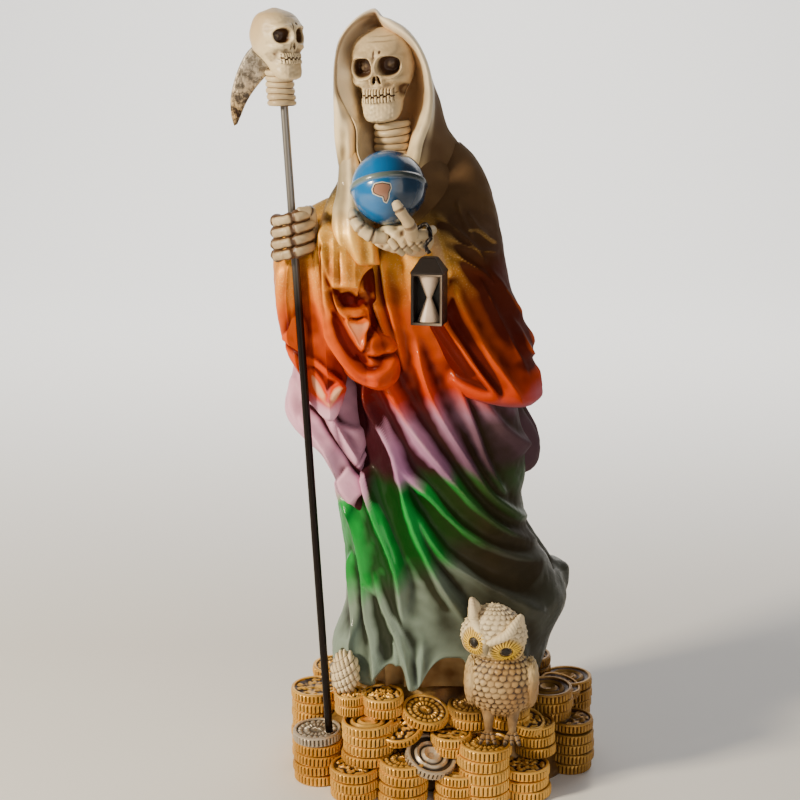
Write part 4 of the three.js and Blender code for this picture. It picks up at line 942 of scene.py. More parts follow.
front_drape.marks["shift"] = np.full(len(front_drape.points), -0.003)
robe_part("front_drape", behind_rod(front_drape))

# %% Tail of the cape
TAIL = [
    fold([(-53, 158), (-46.4, 148), (-44.1, 145.3), (-40, 138.1), (-36.3, 132.1),
          (-33.4, 127)], 1.5, 0.9, 2.6),
    fold([(-57, 152), (-49.5, 146.9), (-45, 139.7), (-39.3, 131.7), (-34, 124.9),
          (-31, 120.8)], 1.1, 0.8, -2.2),
    fold([(-58, 147), (-50, 138), (-44.5, 130), (-39.6, 120), (-36, 113)], 2.0, 1.2, 2.2),
    patch([(-43, 143), (-36, 141.6), (-30, 141), (-29, 136), (-31.4, 130.5), (-34.4, 127),
           (-38, 133)], 1.4, 0.8),
    fold([(-29.6, 138.6), (-31.6, 133.3), (-34.4, 128.5), (-35.4, 125)], 0.8, 0.9, -1.4),
    patch([(-38.6, 127), (-34.6, 124.6), (-31, 120.6), (-31.4, 118.2), (-34.4, 115.4), (-37.4, 112),
           (-41.5, 119)], 1.6, 0.7),
    fold([(-59.6, 160), (-60, 150), (-56, 141)], 1.2, 1.0, 1.4),
]
# Its dark stroke paints shade between the tail's lower end and the robe
cape_tail = draped([
    [108, -34, -30, -19, -10], [114, -40, -29, -21, -4], [121, -43, -30, -21, 0], [130, -48.5, -29.5, -20, 3],
    [136, -56, -29.5, -18, 5], [142, -61.5, -30, -16, 6], [148, -63.4, -31, -14, 7], [158, -61, -33, -12, 8],
    [172, -58, -36, -8, 8], [186, -54, -38, -4, 6],
], columns=160, rings=100, strokes=TAIL, dark=[
    patch([(-34.4, 114), (-31.6, 117.6), (-28.6, 120), (-26, 116), (-30, 110), (-35, 108)], 1.0, 1.0)])
tail_height = cape_tail.points[:, 2]
cape_tail.marks["shift"] = (137 - tail_height) * MM * step(170, 161, tail_height)
robe_part("cape_tail", behind_rod(cape_tail))

# %% Left sleeve
SLEEVE = [
    fold([(-27, 218), (-25.3, 213.1), (-22.4, 204.2), (-18.5, 197.1), (-14.4, 186.1), (-11.7, 174.4),
          (-5.3, 165.6), (0.9, 161.8)], 1.2, 1.4, 2.2, 1.1, (0.1, 0.3)),
    patch([(-12.4, 190), (-5, 190.5), (-1, 184.6), (4.4, 176.4), (10.4, 167.6), (15.2, 160.4), (7.8, 162),
           (-1, 165.6), (-7.6, 171.4), (-10.8, 180)], -3.4, 1.5),
    fold([(-5.6, 198), (-2.8, 190.4), (0, 185.5), (4.9, 178.4), (11.1, 169.3), (16.8, 161.4),
          (19.4, 156)], 2.2, 1.1, 4.4),
    fold([(1.5, 202), (4.3, 194), (11.1, 181.3), (17.6, 170.7), (24.7, 160.2), (29.4, 152)], 2.8, 1.3, 4.6),
    fold([(10, 204), (17, 190), (24, 176), (31, 164)], 1.6, 1.2, 2),
    fold([(-9, 186), (-4, 178), (2, 170), (7, 164)], 1.4, 1.2, 1.4),
    fold([(14, 208), (21, 196), (29, 184), (37, 176)], 1.8, 1.4, 2.6, 1.2, (0.25, 0.02)),
    fold([(22, 190), (28, 178), (33, 169), (39, 161)], 1.6, 1.3, 2.4, 1.2, (0.25, 0.02)),
    fold([(-6, 226), (2, 221), (9, 214), (15, 206)], 1.0, 0.8, 1.8),
    fold([(-3, 219), (6, 214.5), (13, 212), (20, 211)], 0.8, 0.7, 1.6),
    fold([(-2, 214), (6, 209), (13, 204), (19, 197)], 0.9, 0.7, 1.6),
    fold([(3, 230), (6, 222), (10, 216)], 0.8, 0.7, 1.4),
    fold([(-7, 211), (-3, 205), (1, 198)], 1.0, 0.8, 1.4),
    fold([(7, 226), (11, 220), (15.5, 216)], 0.7, 0.6, 1.2),
]
# Painted shade in the left sleeve's hollows and beside its folds, and painted highlights, the strokes below
# zero, near its top
SLEEVE_PAINTED_SHADE_AND_HIGHLIGHT = [
    patch([(-11, 188), (-5, 189), (-1, 183), (4.4, 174), (9.4, 167), (3, 166), (-4, 170),
           (-8.8, 177)], 0.8, 1.6),
    patch([(1.4, 196), (4, 189), (10.4, 178), (17, 168), (20, 160), (16.6, 163), (10.6, 171), (4.6, 180),
           (0, 188)], 0.8, 1.0),
    patch([(11, 204), (14, 192), (22, 178), (30, 168), (34, 172), (27, 190), (20, 208)], 0.6, 2.5),
    patch([(-6.9, 219.2), (-3.9, 218.1), (0.2, 205), (-1.6, 205), (-6.1, 210.3), (-7.6, 217.3)], -1.5, 1.4),
    fold([(6.6, 219.8), (11.8, 218.7), (15.6, 215.7), (19.3, 213.5)], 0.5, 0.5, -1.5),
    patch([(-4, 221), (2, 219.5), (4.5, 208), (10, 200), (20, 198), (22, 212), (18, 222),
           (6, 226)], 0.7, 2.5),
]
left_sleeve = draped([
    [153.5, 17, 33, -30, -12], [156, 7, 36.3, -34, -4], [159, 2, 36.5, -35, 2], [164, -3, 35, -35, 8],
    [170, -7, 31.6, -35, 12], [176, -11, 33.4, -34, 15], [184, -15, 28, -33, 17], [194, -18.5, 25, -32, 18],
    [205, -21, 22.6, -31, 18], [214, -22, 21.2, -28, 17], [224, -16, 19.3, -20, 15],
    [231, -11, 17.3, -15, 13], [237, -6, 15.2, -11, 11], [242, -3, 12.6, -8, 10], [246.5, -1, 9.2, -5, 8],
    [250, 1, 5.4, -2, 6],
], columns=245, rings=140, strokes=SLEEVE, dark=SLEEVE_PAINTED_SHADE_AND_HIGHLIGHT)
sleeve_x, sleeve_z = left_sleeve.points[:, 0], left_sleeve.points[:, 2]
# The sleeve's top right takes the dark shoulder spray, deepened as painted shade
left_sleeve.marks["soot"] = step(213, 224, sleeve_z + 0.35 * (sleeve_x - 6)) * step(-18, -10, sleeve_x)
robe_part("left_sleeve", left_sleeve)

# %% Cape
def cape_pleats(angle, z):
    """Broad pleats 2.4 cos(8a + z/40) with finer ones between them, growing towards the hem."""
    broad = 2.4 * step(244, 130, z) * np.cos(8 * angle + z / 40)
    return broad + 0.6 * step(225, 120, z) * np.cos(21 * angle - z / 30)


back_cape = draped([
    [114, -34, 29, 4, 27], [118, -39, 37, 0, 31], [126, -41, 39.5, -2, 31], [134, -41, 37.5, -2, 30.5],
    [146, -40, 31, -2, 29.5], [180, -41, 28, -2, 28], [205, -42, 20, -2, 25], [225, -42, 15, -2, 21.5],
    [244, -38, 6, -2, 15],
], columns=190, rings=84, crowding=-0.4, pleats=cape_pleats)
back_cape.marks["shift"] = 0.014 * step(150, 125, back_cape.points[:, 2])
robe_part("back_cape", back_cape)

# %% [markdown]
# ## The hood
# Seen from the front, the hood is a ring of cloth round the face. So its skin is a set of rings round
# one middle: they start deep behind the skull, come forward up the inner wall, roll over the rim, and go
# back over the outside. Each ring is a closed line through twenty places, given clockwise from the peak.

# %% Hood rings
ROUND = 220
HOOD_ROWS = 120
INNER = [(-27.6, 297.0), (-24.6, 294.4), (-21, 291.8), (-16.4, 288.6), (-12.6, 284.6), (-10.3, 279.4),
         (-9.1, 273), (-9, 266), (-11, 259.4), (-13.6, 252.5), (-16.5, 244), (-22, 238), (-29, 239),
         (-33.8, 246), (-34.6, 256), (-38.4, 263.6), (-41.4, 270.6), (-41.4, 280.4), (-39, 289),
         (-33.4, 295.2)]
OUTER = [(-27.8, 299.75), (-25.3, 297.2), (-21, 295.6), (-15.8, 292.6), (-11.4, 287.6), (-7.9, 280.7),
         (-5.9, 273.1), (-5.4, 265.9), (-6.2, 258.5), (-8.7, 250.8), (-11.5, 240), (-20, 231), (-29, 229),
         (-38, 233), (-42, 249), (-42.6, 262), (-42.7, 272), (-42.2, 281), (-40, 289.4), (-34.2, 296.4)]
SILHOUETTE = [(-27.7, 299.8), (-23.6, 296.2), (-19, 294.4), (-14.6, 290.6), (-10.8, 285), (-7.2, 277.5),
              (-5, 271.6), (-2.8, 265.9), (0, 256), (5.4, 247), (6, 234), (-8, 225), (-28, 223), (-39, 228),
              (-41.6, 246), (-42.9, 262), (-42.9, 273), (-41.8, 283), (-38.6, 290.4), (-33.6, 296.4)]
HEART = np.array([-24.5, 0, 268.0])


def ring(places):
    """A closed smooth line through (x, z) places, cubic in the share of the way round."""
    wide = np.array(places[-2:] + places + places[:3], float)
    at = np.linspace(0, len(places), ROUND, endpoint=False) + 2
    x, z = (value(at) for value in tracks(np.c_[np.arange(len(wide)), wide]))
    return grid_of(x, 0, z)


def drawn(line, share, depth):
    """A ring drawn towards the middle of the hood by a share, at a new depth."""
    moved = line + (HEART - line) * share
    moved[:, 1] = depth
    return moved


def loft(rings, rows):
    """Rows of points that pass smoothly through every ring in turn: a cubic between each two rings."""
    rings = np.array(rings)
    at = np.linspace(0, len(rings) - 1, rows)
    i = np.clip(at.astype(int), 0, len(rings) - 2)
    t = (at - i)[:, None, None]
    before, after = rings[np.maximum(i - 1, 0)], rings[np.minimum(i + 2, len(rings) - 1)]
    first, second = rings[i], rings[i + 1]
    leave, arrive = (second - before) / 2, (after - first) / 2
    cubic = (2 * first - 2 * second + leave + arrive) * t ** 3
    return cubic + (3 * (second - first) - 2 * leave - arrive) * t ** 2 + leave * t + first


inner, outer, far = ring(INNER), ring(OUTER), ring(SILHOUETTE)
# The peak of the rim lies 9 mm further back than its sides
back_off = 9 * bell(((np.arange(ROUND) / ROUND + 0.5) % 1 - 0.5) / 0.06)
hood_rings = [drawn(inner, 0.97, 8.5), drawn(inner, 0.62, 8.5), drawn(inner, 0.36, 7), drawn(inner, 0.2, 2.5)]
hood_rings += [drawn(inner, share, depth + back_off) for share, depth in ((0.1, -4), (0.04, -10), (0, -14.2))]
hood_rings += [drawn(inner + (outer - inner) * share, 0, depth + back_off)
               for share, depth in ((0.2, -16.2), (0.5, -17.2), (0.85, -16.2), (1, -13.5))]
hood_rings += [drawn(outer * 0.6 + far * 0.4, 0, -8 + back_off * 0.6)]
hood_rings += [drawn(far, share, depth) for share, depth in
               ((0, -1), (0.02, 5), (0.1, 10), (0.3, 14.2), (0.6, 16.6), (0.97, 17))]
hood_grid = loft(hood_rings, HOOD_ROWS)
print(len(hood_rings), "rings, grid", hood_grid.shape)

# %% Hood folds and skin
level = np.linspace(0, len(hood_rings) - 1, HOOD_ROWS)[:, None]
turning = around(ROUND)
hood_x, hood_z = hood_grid[..., 0], hood_grid[..., 2]
creases = 0.5 * np.cos(9 * turning + 1.1) + 0.35 * np.cos(14 * turning - 0.6)
creases = creases * step(11, 12.5, level) * step(16.5, 15, level)
wall_folds = 0.9 * np.abs(np.cos(7 * turning)) * step(1.5, 3, level) * step(5.6, 4, level)
# The left wall is pushed forward, so that it shows beside the skull
left_push = track([(0, 0), (1, 8), (2, 16.5), (3, 14.5), (4, 9), (5, 4), (6, 0), (17, 0)])
open_left = step(-28, -36, hood_x) * step(290, 276, hood_z) * left_push(level)
open_left -= 2.2 * step(-36, -41, hood_x) * bell((level - 8) / 1.3)
low_left = 16 * bell((hood_x + 31) / 7) * bell((hood_z - 248) / 16) * step(6.2, 4.6, level)
lower_left = 0.5 * bell((hood_x + 38) / 5) * bell((hood_z - 244) / 14) * np.cos(hood_x * 2 * np.pi / 4.6)
lower_left = lower_left * step(6, 7, level) * step(12, 11, level)
hood_grid[..., 1] += creases - wall_folds - np.maximum(open_left, low_left) - lower_left
hood_grid[..., 1] += 0.12 * ripple(hood_grid, 7, 31)
hood = wrapped(hood_grid, passes=24, depth=1.6)
inside = step(6.2, 5.2, level)
from_left = step(-38, -12, hood_x)
limit = capped(0.5 - 0.6 * inside * (1 - from_left))
hood.marks["hollow"] = np.minimum(np.maximum(hood.marks["hollow"], -0.5), limit)
hood.marks["lining"] = capped(inside * (0.02 + 0.93 * from_left), 0.9)
# The outside of the hood, low at the right, takes the dark spray, deepened as painted shade
hood.marks["soot"] = capped(step(10.05, 10.6, level) * step(-14, -9, hood_x) * step(280, 268, hood_z))
robe_part("hood", hood)

# %% Mantle under the hood
def mantle_waves(s, t):
    """Two soft folds that run down the piece, deeper towards its lower end."""
    return (0.2 + 0.4 * t) * np.cos(2.2 * np.pi * s + 1.2 * t - 0.4) * (1 - s ** 4)


mantle_left = [(-40.2, -6, 258), (-40.8, -11, 246), (-41.6, -15.5, 234), (-43.2, -20, 226), (-42.8, -24, 217),
               (-38, -26, 207)]
mantle_right = [(-35, -7, 258), (-33.4, -12, 246), (-31, -17.5, 234), (-28.6, -21.5, 226),
                (-26.6, -24.5, 217), (-25.4, -26, 207)]
mantle = sheet_between(mantle_left, mantle_right, bulge=2.6, thickness=6.0, rows=110, columns=90,
                       waves=mantle_waves)
mantle.marks["shift"] = 0.022 * step(212, 230, mantle.points[:, 2])
robe_part("mantle", mantle)

# %% [markdown]
# ## Skulls and necks
# A skull is a grid of level rounds. The sockets, the nose and the gaps between the teeth are pressed
# into its front as soft dents, each a function of the place across and up the face.

# %% The face
# Height, half width, front and back of a skull that is one high
SKULL_ROWS = [
    [-0.5, 0.12, -0.36, -0.2], [-0.47, 0.175, -0.42, -0.14], [-0.4, 0.215, -0.43, -0.04],
    [-0.29, 0.232, -0.42, 0.08], [-0.2, 0.26, -0.4, 0.2], [-0.1, 0.314, -0.38, 0.34],
    [0.03, 0.348, -0.39, 0.4], [0.15, 0.35, -0.4, 0.42], [0.3, 0.322, -0.35, 0.37],
    [0.42, 0.245, -0.22, 0.27], [0.5, 0.1, -0.05, 0.13],
]
TOOTH = 0.037


def bump(x, z, middle, half, power=2.0):
    """A bell over the distance from the middle in units of the two half widths."""
    return bell(np.hypot((x - middle[0]) / half[0], (z - middle[1]) / half[1]), power)


def squared(x, z, middle, half, turn=0.0):
    """The distance d = (|u|^2.3 + |v|^2.3)^(1/2.3) of a squarish round that is turned by an angle."""
    u = ((x - middle[0]) * math.cos(turn) + (z - middle[1]) * math.sin(turn)) / half[0]
    v = ((z - middle[1]) * math.cos(turn) - (x - middle[0]) * math.sin(turn)) / half[1]
    return (np.abs(u) ** 2.3 + np.abs(v) ** 2.3) ** (1 / 2.3)


def face_dents(x, z, cheeks):
    """How far the face is pressed in at x across and z up, for a skull one high, and how dark it is."""
    side = np.abs(x)
    # Eye sockets with a raised rim, brows and temples
    socket = squared(side, z, (0.152, 0.115), (0.124, 0.112), -0.12)
    dark = 0.5 * step(1.02, 0.9, socket)
    dent = 0.17 * step(1.05, 0.6, socket) - 0.03 * bell((socket - 1.13) / 0.13)
    dent -= 0.04 * bump(side, z, (0.15, 0.25), (0.15, 0.035))
    dent += 0.05 * bump(side, z, (0.31, 0.22), (0.05, 0.09))
    dent += 0.03 * bump(side, z, (0.1, -0.1), (0.07, 0.05))
    # Nose: two slits, their sides and the bridge above them
    slit = squared(side, z, (0.028, -0.028), (0.019, 0.046), 0.35)
    dark = np.maximum(dark, step(1.15, 0.8, slit))
    dent += 0.085 * step(1.2, 0.6, slit)
    dent -= 0.03 * bump(side, z, (0.066, -0.04), (0.018, 0.05))
    dent -= 0.035 * bump(x, z, (0, 0.07), (0.03, 0.09))
    # Cheek bones and hollow cheeks
    dent -= 0.05 * bump(side, z, (0.25, -0.045), (0.1, 0.035))
    hollow_cheek = squared(side, z, (0.262, -0.19), (0.07, 0.1), 0.3)
    dent += cheeks * 0.1 * step(1.25, 0.5, hollow_cheek)
    dark = np.maximum(dark, 0.4 * cheeks * step(1.05, 0.5, hollow_cheek))
    # Two rows of teeth, the gaps between them and the line of the mouth
    jaw = step(0.225, 0.16, side)
    wave = np.abs(np.sin(np.pi * x / TOOTH + 0.6 * np.sin(7 * x)))
    for middle in (-0.163, -0.236):
        row = jaw * step(1.15, 0.8, np.abs(z - middle) / 0.036)
        dent += row * (0.014 * step(0.45, 0.1, wave) - 0.03 * wave ** 0.5)
        dark = np.maximum(dark, 0.85 * row * step(0.5, 0.1, wave))
    mouth = jaw * step(1.0, 0.3, np.abs(z + 0.2 + 0.01 * np.sign(np.sin(np.pi * x / TOOTH))) / 0.013)
    dent += 0.04 * mouth
    # A crack, a spot and a fine line pattern on the forehead
    crack = bump(x, z, (0.004 + 0.02 * (z - 0.2), 0.25), (0.007, 0.05), 4)
    spot = bump(x, z, (0.075, 0.275), (0.014, 0.018), 4)
    dent += 0.014 * crack + 0.016 * spot - 0.012 * bump(x, z, (-0.03, 0.2), (0.02, 0.06))
    lines = np.abs(np.sin(z * 62 + 3 * x)) ** 8 * bump(x, z, (0.08, 0.4), (0.16, 0.05), 4)
    dent += 0.006 * lines
    return dent, np.maximum.reduce([dark, mouth, 0.8 * crack, 0.8 * spot, 0.3 * lines])


# %% Skull and neck
def turn_about(axis, degrees):
    """The matrix that turns rows of places about one axis, with the cosine and sine of the angle."""
    c, s = math.cos(math.radians(degrees)), math.sin(math.radians(degrees))
    tables = {"x": [[1, 0, 0], [0, c, s], [0, -s, c]], "y": [[c, 0, -s], [0, 1, 0], [s, 0, c]],
              "z": [[c, s, 0], [-s, c, 0], [0, 0, 1]]}
    return np.array(tables[axis])


def skull(size, turns, middle, cheeks=1.0, columns=150, rings=166):
    """Level rounds from chin to crown, pressed in at the front, turned by roll, pitch and yaw and placed."""
    half, front, back = tracks(SKULL_ROWS)
    angle = angles_round(columns, 0.6)[None]
    share = down(rings)
    z = share - 0.5 - 0.055 * np.sin(2 * np.pi * share) + 0 * angle
    across, deep = squarish(angle, 0.85)
    waist = (front(z) + back(z)) / 2
    reach = np.where(deep < 0, waist - front(z), back(z) - waist)
    crown = np.sqrt(np.clip(1 - np.clip((z - 0.42) / 0.085, 0, 1) ** 2, 0.01, 1))
    x = crown * half(z) * across
    dent, dark = face_dents(x, z, cheeks)
    facing = step(0.1, -0.25, np.sin(angle))
    points = grid_of(x, waist + crown * reach * deep + dent * facing, z) * size
    points += (0.14 * ripple(points, 5, 21) + 0.07 * ripple(points, 1.8, 22))[..., None] * (0.4, 1, 0.4)
    roll, pitch, yaw = turns
    points = points @ turn_about("y", -roll) @ turn_about("x", pitch) @ turn_about("z", yaw)
    made = wrapped(points + np.array(middle, float), passes=16, depth=size * 0.03)
    made.marks["hollow"] = np.clip(made.marks["hollow"], -1, 0.3) + capped(dark * facing)
    return made


def ringed_neck(middle, radius, length, rings, lean, tilt=0.0, rows=120, columns=72):
    """Stacked rings: the radius rises and falls as |sin|^0.45 of the height, rings times. Rings rise by
    tilt for each unit of x."""
    share, angle = down(rows), around(columns)
    swell = np.abs(np.sin(np.pi * rings * (share + 0.012 * np.sin(2 * angle + 7 * share)))) ** 0.45
    wide = radius * (0.84 + 0.16 * swell) + 0.2 * np.sin(3 * angle + 9 * share) * (1 - share)
    x = middle[0] + lean[0] * share + wide * np.cos(angle)
    y = middle[1] + lean[1] * share + wide * np.sin(angle)
    z = middle[2] + length * share + tilt * wide * np.cos(angle)
    made = wrapped(grid_of(x, y, z), passes=3, depth=0.5)
    made.marks["hollow"] = np.maximum(made.marks["hollow"], capped(step(0.55, 0.2, swell)))
    return made


def bone_part(name, skin, node="robed_figure"):
    """A skin of painted bone."""
    shown(name, skin, bone_finish, "painted_bone", node)


bone_part("skull", skull(size=33, turns=(5, 7, -13), middle=(-24.1, -7, 276.3)))
bone_part("neck", ringed_neck((-20.4, -8, 240), radius=7.0, length=18.6, rings=7, lean=(-0.6, 0),
                              tilt=0.1))

# %% [markdown]
# ## Hands and foot
# Each finger is a chain of bones: a tube along a bent line that swells at every joint. The palms and
# the foot are balls whose surface rises in rows of small bones.

# %% Fingers
# A joint that lies beyond the end of the line leaves the bone smooth
NO_JOINT = (2,)


def finger(points, radii, joints=(0.5,), sides=20, count=48):
    """A chain of bones: the radius swells towards each joint and is notched at the joint itself, by
    0.93 + 0.16 exp(-(d / 0.09)^2) - 0.3 exp(-(d / 0.02)^2) at the distance d along the line."""
    radius = track(np.c_[np.linspace(0, 1, len(radii)), radii])
    near = np.min([np.abs(down(count) - joint) for joint in joints], axis=0)

    def boned(at):
        return radius(at) * (0.93 + 0.16 * bell(near / 0.09) - 0.3 * bell(near / 0.02))

    made = tube(line_through(points, count), round_ended(boned), sides)
    dark = bell(near / 0.022) + np.zeros((1, sides))
    made.marks["hollow"] = np.maximum(made.marks["hollow"], capped(dark))
    return made


GLOBE_MIDDLE = np.array([-22.1, -32, 236.0])
GLOBE_RADIUS = 13.6


def near_globe(places):
    """One or more places given in radii of the globe from its middle."""
    return GLOBE_MIDDLE + np.array(places) * GLOBE_RADIUS


# %% Left hand
def knuckled(unit):
    """Ridges of small bones over the palm: waves across it, deepest where it faces the viewer."""
    x, y, z = unit[..., 0], unit[..., 1], unit[..., 2]
    return step(0.2, -0.8, y) * (0.07 * np.cos(9 * x + 5 * z) + 0.03 * np.sin(17 * x - 6 * z))


left_hand = ball(near_globe((0.3, -0.1, -1.33)), (10.4, 7.6, 5.4), 60, 90, knuckled)
left_hand += finger(near_globe([(1.76, 1.76, -1.54), (1.1, 0.81, -1.62), (0.51, 0, -1.47)]), [5, 5, 5.2])
pointing = near_globe([(0.66, -0.5, -1.3), (0.56, -0.95, -0.9), (0.3, -1.16, -0.48), (0.16, -1.15, -0.22)])
left_hand += finger(pointing, [2.7, 2.2, 2.0, 1.6], (0.34, 0.7))
little = near_globe([(0.62, -0.62, -1.25), (0.98, -0.4, -1.2), (1.2, 0.1, -1.12)])
left_hand += finger(little, [2.3, 2.1, 2.0])
for number in range(3):
    places = near_globe([(0, -0.52 + number * 0.29, -1.3), (-0.48, -0.6 + number * 0.33, -1.22),
                         (-0.85, -0.5 + number * 0.37, -0.92), (-1.02, -0.33 + number * 0.33, -0.55)])
    left_hand += finger(places, [2.3, 2.2, 2.0, 1.4], (0.3, 0.55, 0.8))
for number in range(4):
    start = near_globe((0.02 + 0.2 * number, -0.62 + 0.05 * number, -1.28 + 0.04 * number))
    bones = [start, start + (2.6, -0.6, -3.6), start + (5.4, 1.2, -6.0)]
    left_hand += finger(bones, [1.5, 1.35, 1.2], sides=16, count=30)
left_hand.marks["hollow"] = np.minimum(left_hand.marks["hollow"], 0.45)
bone_part("left_hand", left_hand)

# %% Right hand
fist = on_rod(218)
right_hand = ball(fist + (3, 4.6, 0), (6.5, 4.2, 9), 36, 48)
right_hand += finger(fist + [(5, 6, -2), (5, 11, -6), (9, 18, -9)], [5, 4.6, 5])
right_hand += finger(fist + [(7, 2, 4), (6.4, -3, 8.2), (1.6, -5.6, 9)], [2.2, 2.1, 1.6], (0.55,))
# Four fingers round the rod, each on its own slanted level
GRIP, SLANT = 6.2, 1.6
turn = np.radians([50, -5, -60, -115, -160, -200])
for number in range(4):
    rise = (number - 1.5) * 4.3
    places = fist + grid_of(GRIP * np.cos(turn), 5.6 * np.sin(turn), rise + SLANT * np.cos(turn))
    bones = finger(places, [2.2, 2.35, 2.6, 2.1, 2.5, 1.9], (0.12, 0.5, 0.8), sides=22, count=72)
    level = fist[2] + rise + SLANT * (bones.points[:, 0] - fist[0]) / GRIP
    bones.marks["hollow"] += 1.1 * step(1.25, 2.3, np.abs(bones.points[:, 2] - level))
    bones.points += 0.16 * ripple(bones.points, 2.6, 90 + number)[:, None] * (0.5, 1, 0.5)
    right_hand += bones
bone_part("right_hand", right_hand)

# %% Foot
def toe_bones(unit):
    """Slanted rows of rounded bones: 0.17 |sin(3.1 pi u) sin(2.3 pi v)|^0.6, u and v being slanted places."""
    u = unit[..., 0] + 0.5 * unit[..., 2]
    v = unit[..., 2] - 0.4 * unit[..., 0]
    return 0.17 * np.abs(np.sin(3.1 * np.pi * u) * np.sin(2.3 * np.pi * v)) ** 0.6


bone_part("foot", ball((-39.7, -28.5, 46.0), (5.3, 5.6, 8.2), 84, 96, toe_bones))

# %% [markdown]
# ## The globe
# The ball keeps the solid's band, tilted by the same two turns. The land is paint: the mark "land" is
# the distance to a drawn coast, positive inside it.

# %% Globe
COAST = np.array([(-5.8, 0.5), (-5.0, 2.6), (-2.2, 3.2), (0.6, 2.7), (1.0, 1.2), (0.2, -0.6), (0.1, -2.2),
                  (-0.7, -4.1), (-1.6, -3.6), (-2.0, -2.0), (-3.6, -1.6), (-5.4, -0.8)])
NO_LAND = -9


def globe():
    """A sphere whose radius grows by the band's height where the distance from its plane is small."""
    unit = unit_ball(116, 132, 0.01)
    band = 1 - step(0.75, 1.15, np.abs(GLOBE_RADIUS * unit[..., 2]))
    turned = unit @ turn_about("x", -26) @ turn_about("y", -5)
    grid = turned * (GLOBE_RADIUS + 0.65 * band)[..., None]
    made = wrapped(grid + GLOBE_MIDDLE, passes=4, depth=0.5)
    land = np.where(grid[..., 1] < 0, inside_distance(COAST, grid[..., 0], grid[..., 2]), NO_LAND)
    made.marks["band"] = capped(band)
    made.marks["land"] = capped(land, NO_LAND, NO_LAND)
    return made


shown("globe", globe(), globe_finish, "painted_globe", "globe")

# %% [markdown]
# ## The coins
# A coin is a turned profile with a raised rim, and its side has 36 teeth. The heap is built of the same
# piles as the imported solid. Coins that show get relief on their faces.

# %% One coin
THICK = 4.3
# The last row of the profile that belongs to the rim
RIM_ROW = 9


def coin_profile(t):
    """From the under side's middle out and up to the upper face's middle: share of the radius, height
    and how far the teeth reach there, for a coin of thickness t."""
    rim = [(0.3, 0.4, 0), (0.95, 0.4, 0), (0.975, 0.6, 0), (0.975, 0.9, 0.3), (0.975, t - 1.1, 0.3),
           (0.975, t - 0.8, 0), (0.965, t - 0.2, 0), (0.93, t, 0), (0.86, t - 0.1, 0), (0.82, t - 0.8, 0)]
    return np.array(rim + [(share, t - 0.85, 0) for share in (0.7, 0.58, 0.44, 0.3, 0.12)])


def coin_relief(kind, x, y, share, angle, radius, spin, seed):
    """The height of the upper face. kind 0 is lumps, 1 rings, 2 petals and 3 beads."""
    face = grid_of(x, y, 0)
    lumps = 0.4 * ripple(face, radius * 0.42, seed) + 0.25 * ripple(face, radius * 0.25, seed + 50)
    kinds = [lumps, 0.75 * np.cos(share * 22) + 0.2 * lumps,
             0.8 * np.cos(share * 16 + 2.0 * np.cos(5 * angle + spin)),
             0.9 * np.abs(np.sin(9 * angle)) * np.abs(np.sin(share * 11))]
    return kinds[kind]


def coin(middle, radius, tilt, spin, seed, kind=0, silver=0.0, thickness=THICK, open_face=True, fine=True):
    """Rounds along the profile. Each tooth is one column in and two out, or one where the coin isn't fine.
    A coin with another one on it has no open face, and one at the back isn't fine: it has fewer points."""
    columns = 108 if fine else 72
    angle = around(columns)
    tooth = np.where(np.arange(columns) % (3 if fine else 2) == 0, -1.7, 0.6)[None]
    profile = coin_profile(thickness)
    if not open_face:
        profile = profile[[1, 3, 4, 6, 7, 8]]
    share, height, toothed = (column[:, None] for column in profile.T)
    r = radius * share + tooth * toothed
    x, y = r * np.cos(angle), r * np.sin(angle)
    relief = coin_relief(kind, x, y, share, angle, radius, spin, seed)
    row = np.arange(len(profile))[:, None]
    z = height + np.where(row > RIM_ROW, np.clip(relief, -0.4, 0.85), 0)
    points = grid_of(x, y, z) @ turn_about("z", math.degrees(spin)) @ turn_about("x", tilt[0])
    made = wrapped(points @ turn_about("y", tilt[1]) + np.array(middle, float), passes=2, depth=0.5)
    groove = np.where(tooth < 0, 1.0, -0.3) * (toothed > 0)
    low_face = 0.5 * (row >= RIM_ROW) * step(0.3, -0.3, relief)
    made.marks["hollow"] = np.clip(made.marks["hollow"] + capped(groove + low_face), -1, 1)
    made.marks["silver"] = np.full(len(made.points), silver)
    return made


# %% Piles of coins
HALF_WIDTH, HALF_DEPTH, MOUND, COIN = 49, 36, 38, 10


def pile(across, deep, coins, size, seed, buried=0, silver=0.0, thick=THICK):
    """A pile at shares of the mound's half width and depth. Its buried coins are in the heap and left out."""
    return {"x": across * HALF_WIDTH, "y": deep * HALF_DEPTH, "first": buried, "coins": coins - buried,
            "size": size, "seed": seed, "silver": silver, "thick": thick}


# Shares across and deep, number of coins, size, seed, and how many of the coins are buried
front_piles = [
    pile(-1.04, -0.735, 5, 0.98, 3, silver=0.85), pile(-0.767, -0.833, 9, 0.65, 2, 7),
    pile(0.296, -44 / HALF_DEPTH, 5, 1.05, 3, thick=4.8), pile(-1.08, -0.14, 7, 1, 4),
    pile(-0.622, -1.014, 7, 1.03, 5, 3), pile(-0.735, -1.139, 3, 0.98, 6), pile(-0.337, -1.208, 4, 1, 7),
    pile(0.051, -1.069, 6, 0.82, 8, 4), pile(0.082, -1.264, 3, 0.85, 9), pile(0.633, -1.083, 3, 1, 10),
    pile(0.724, -0.819, 6, 0.85, 11, 3), pile(1.041, -0.444, 5, 0.95, 12), pile(1.051, 0.167, 7, 1.05, 13),
    pile(-0.5, -0.86, 9, 0.85, 14, 7), pile(0.2, -0.86, 8, 0.95, 15, 6), pile(0.5, -0.86, 8, 0.9, 16, 6),
    pile(0.86, -0.4, 8, 1, 17, 5),
]


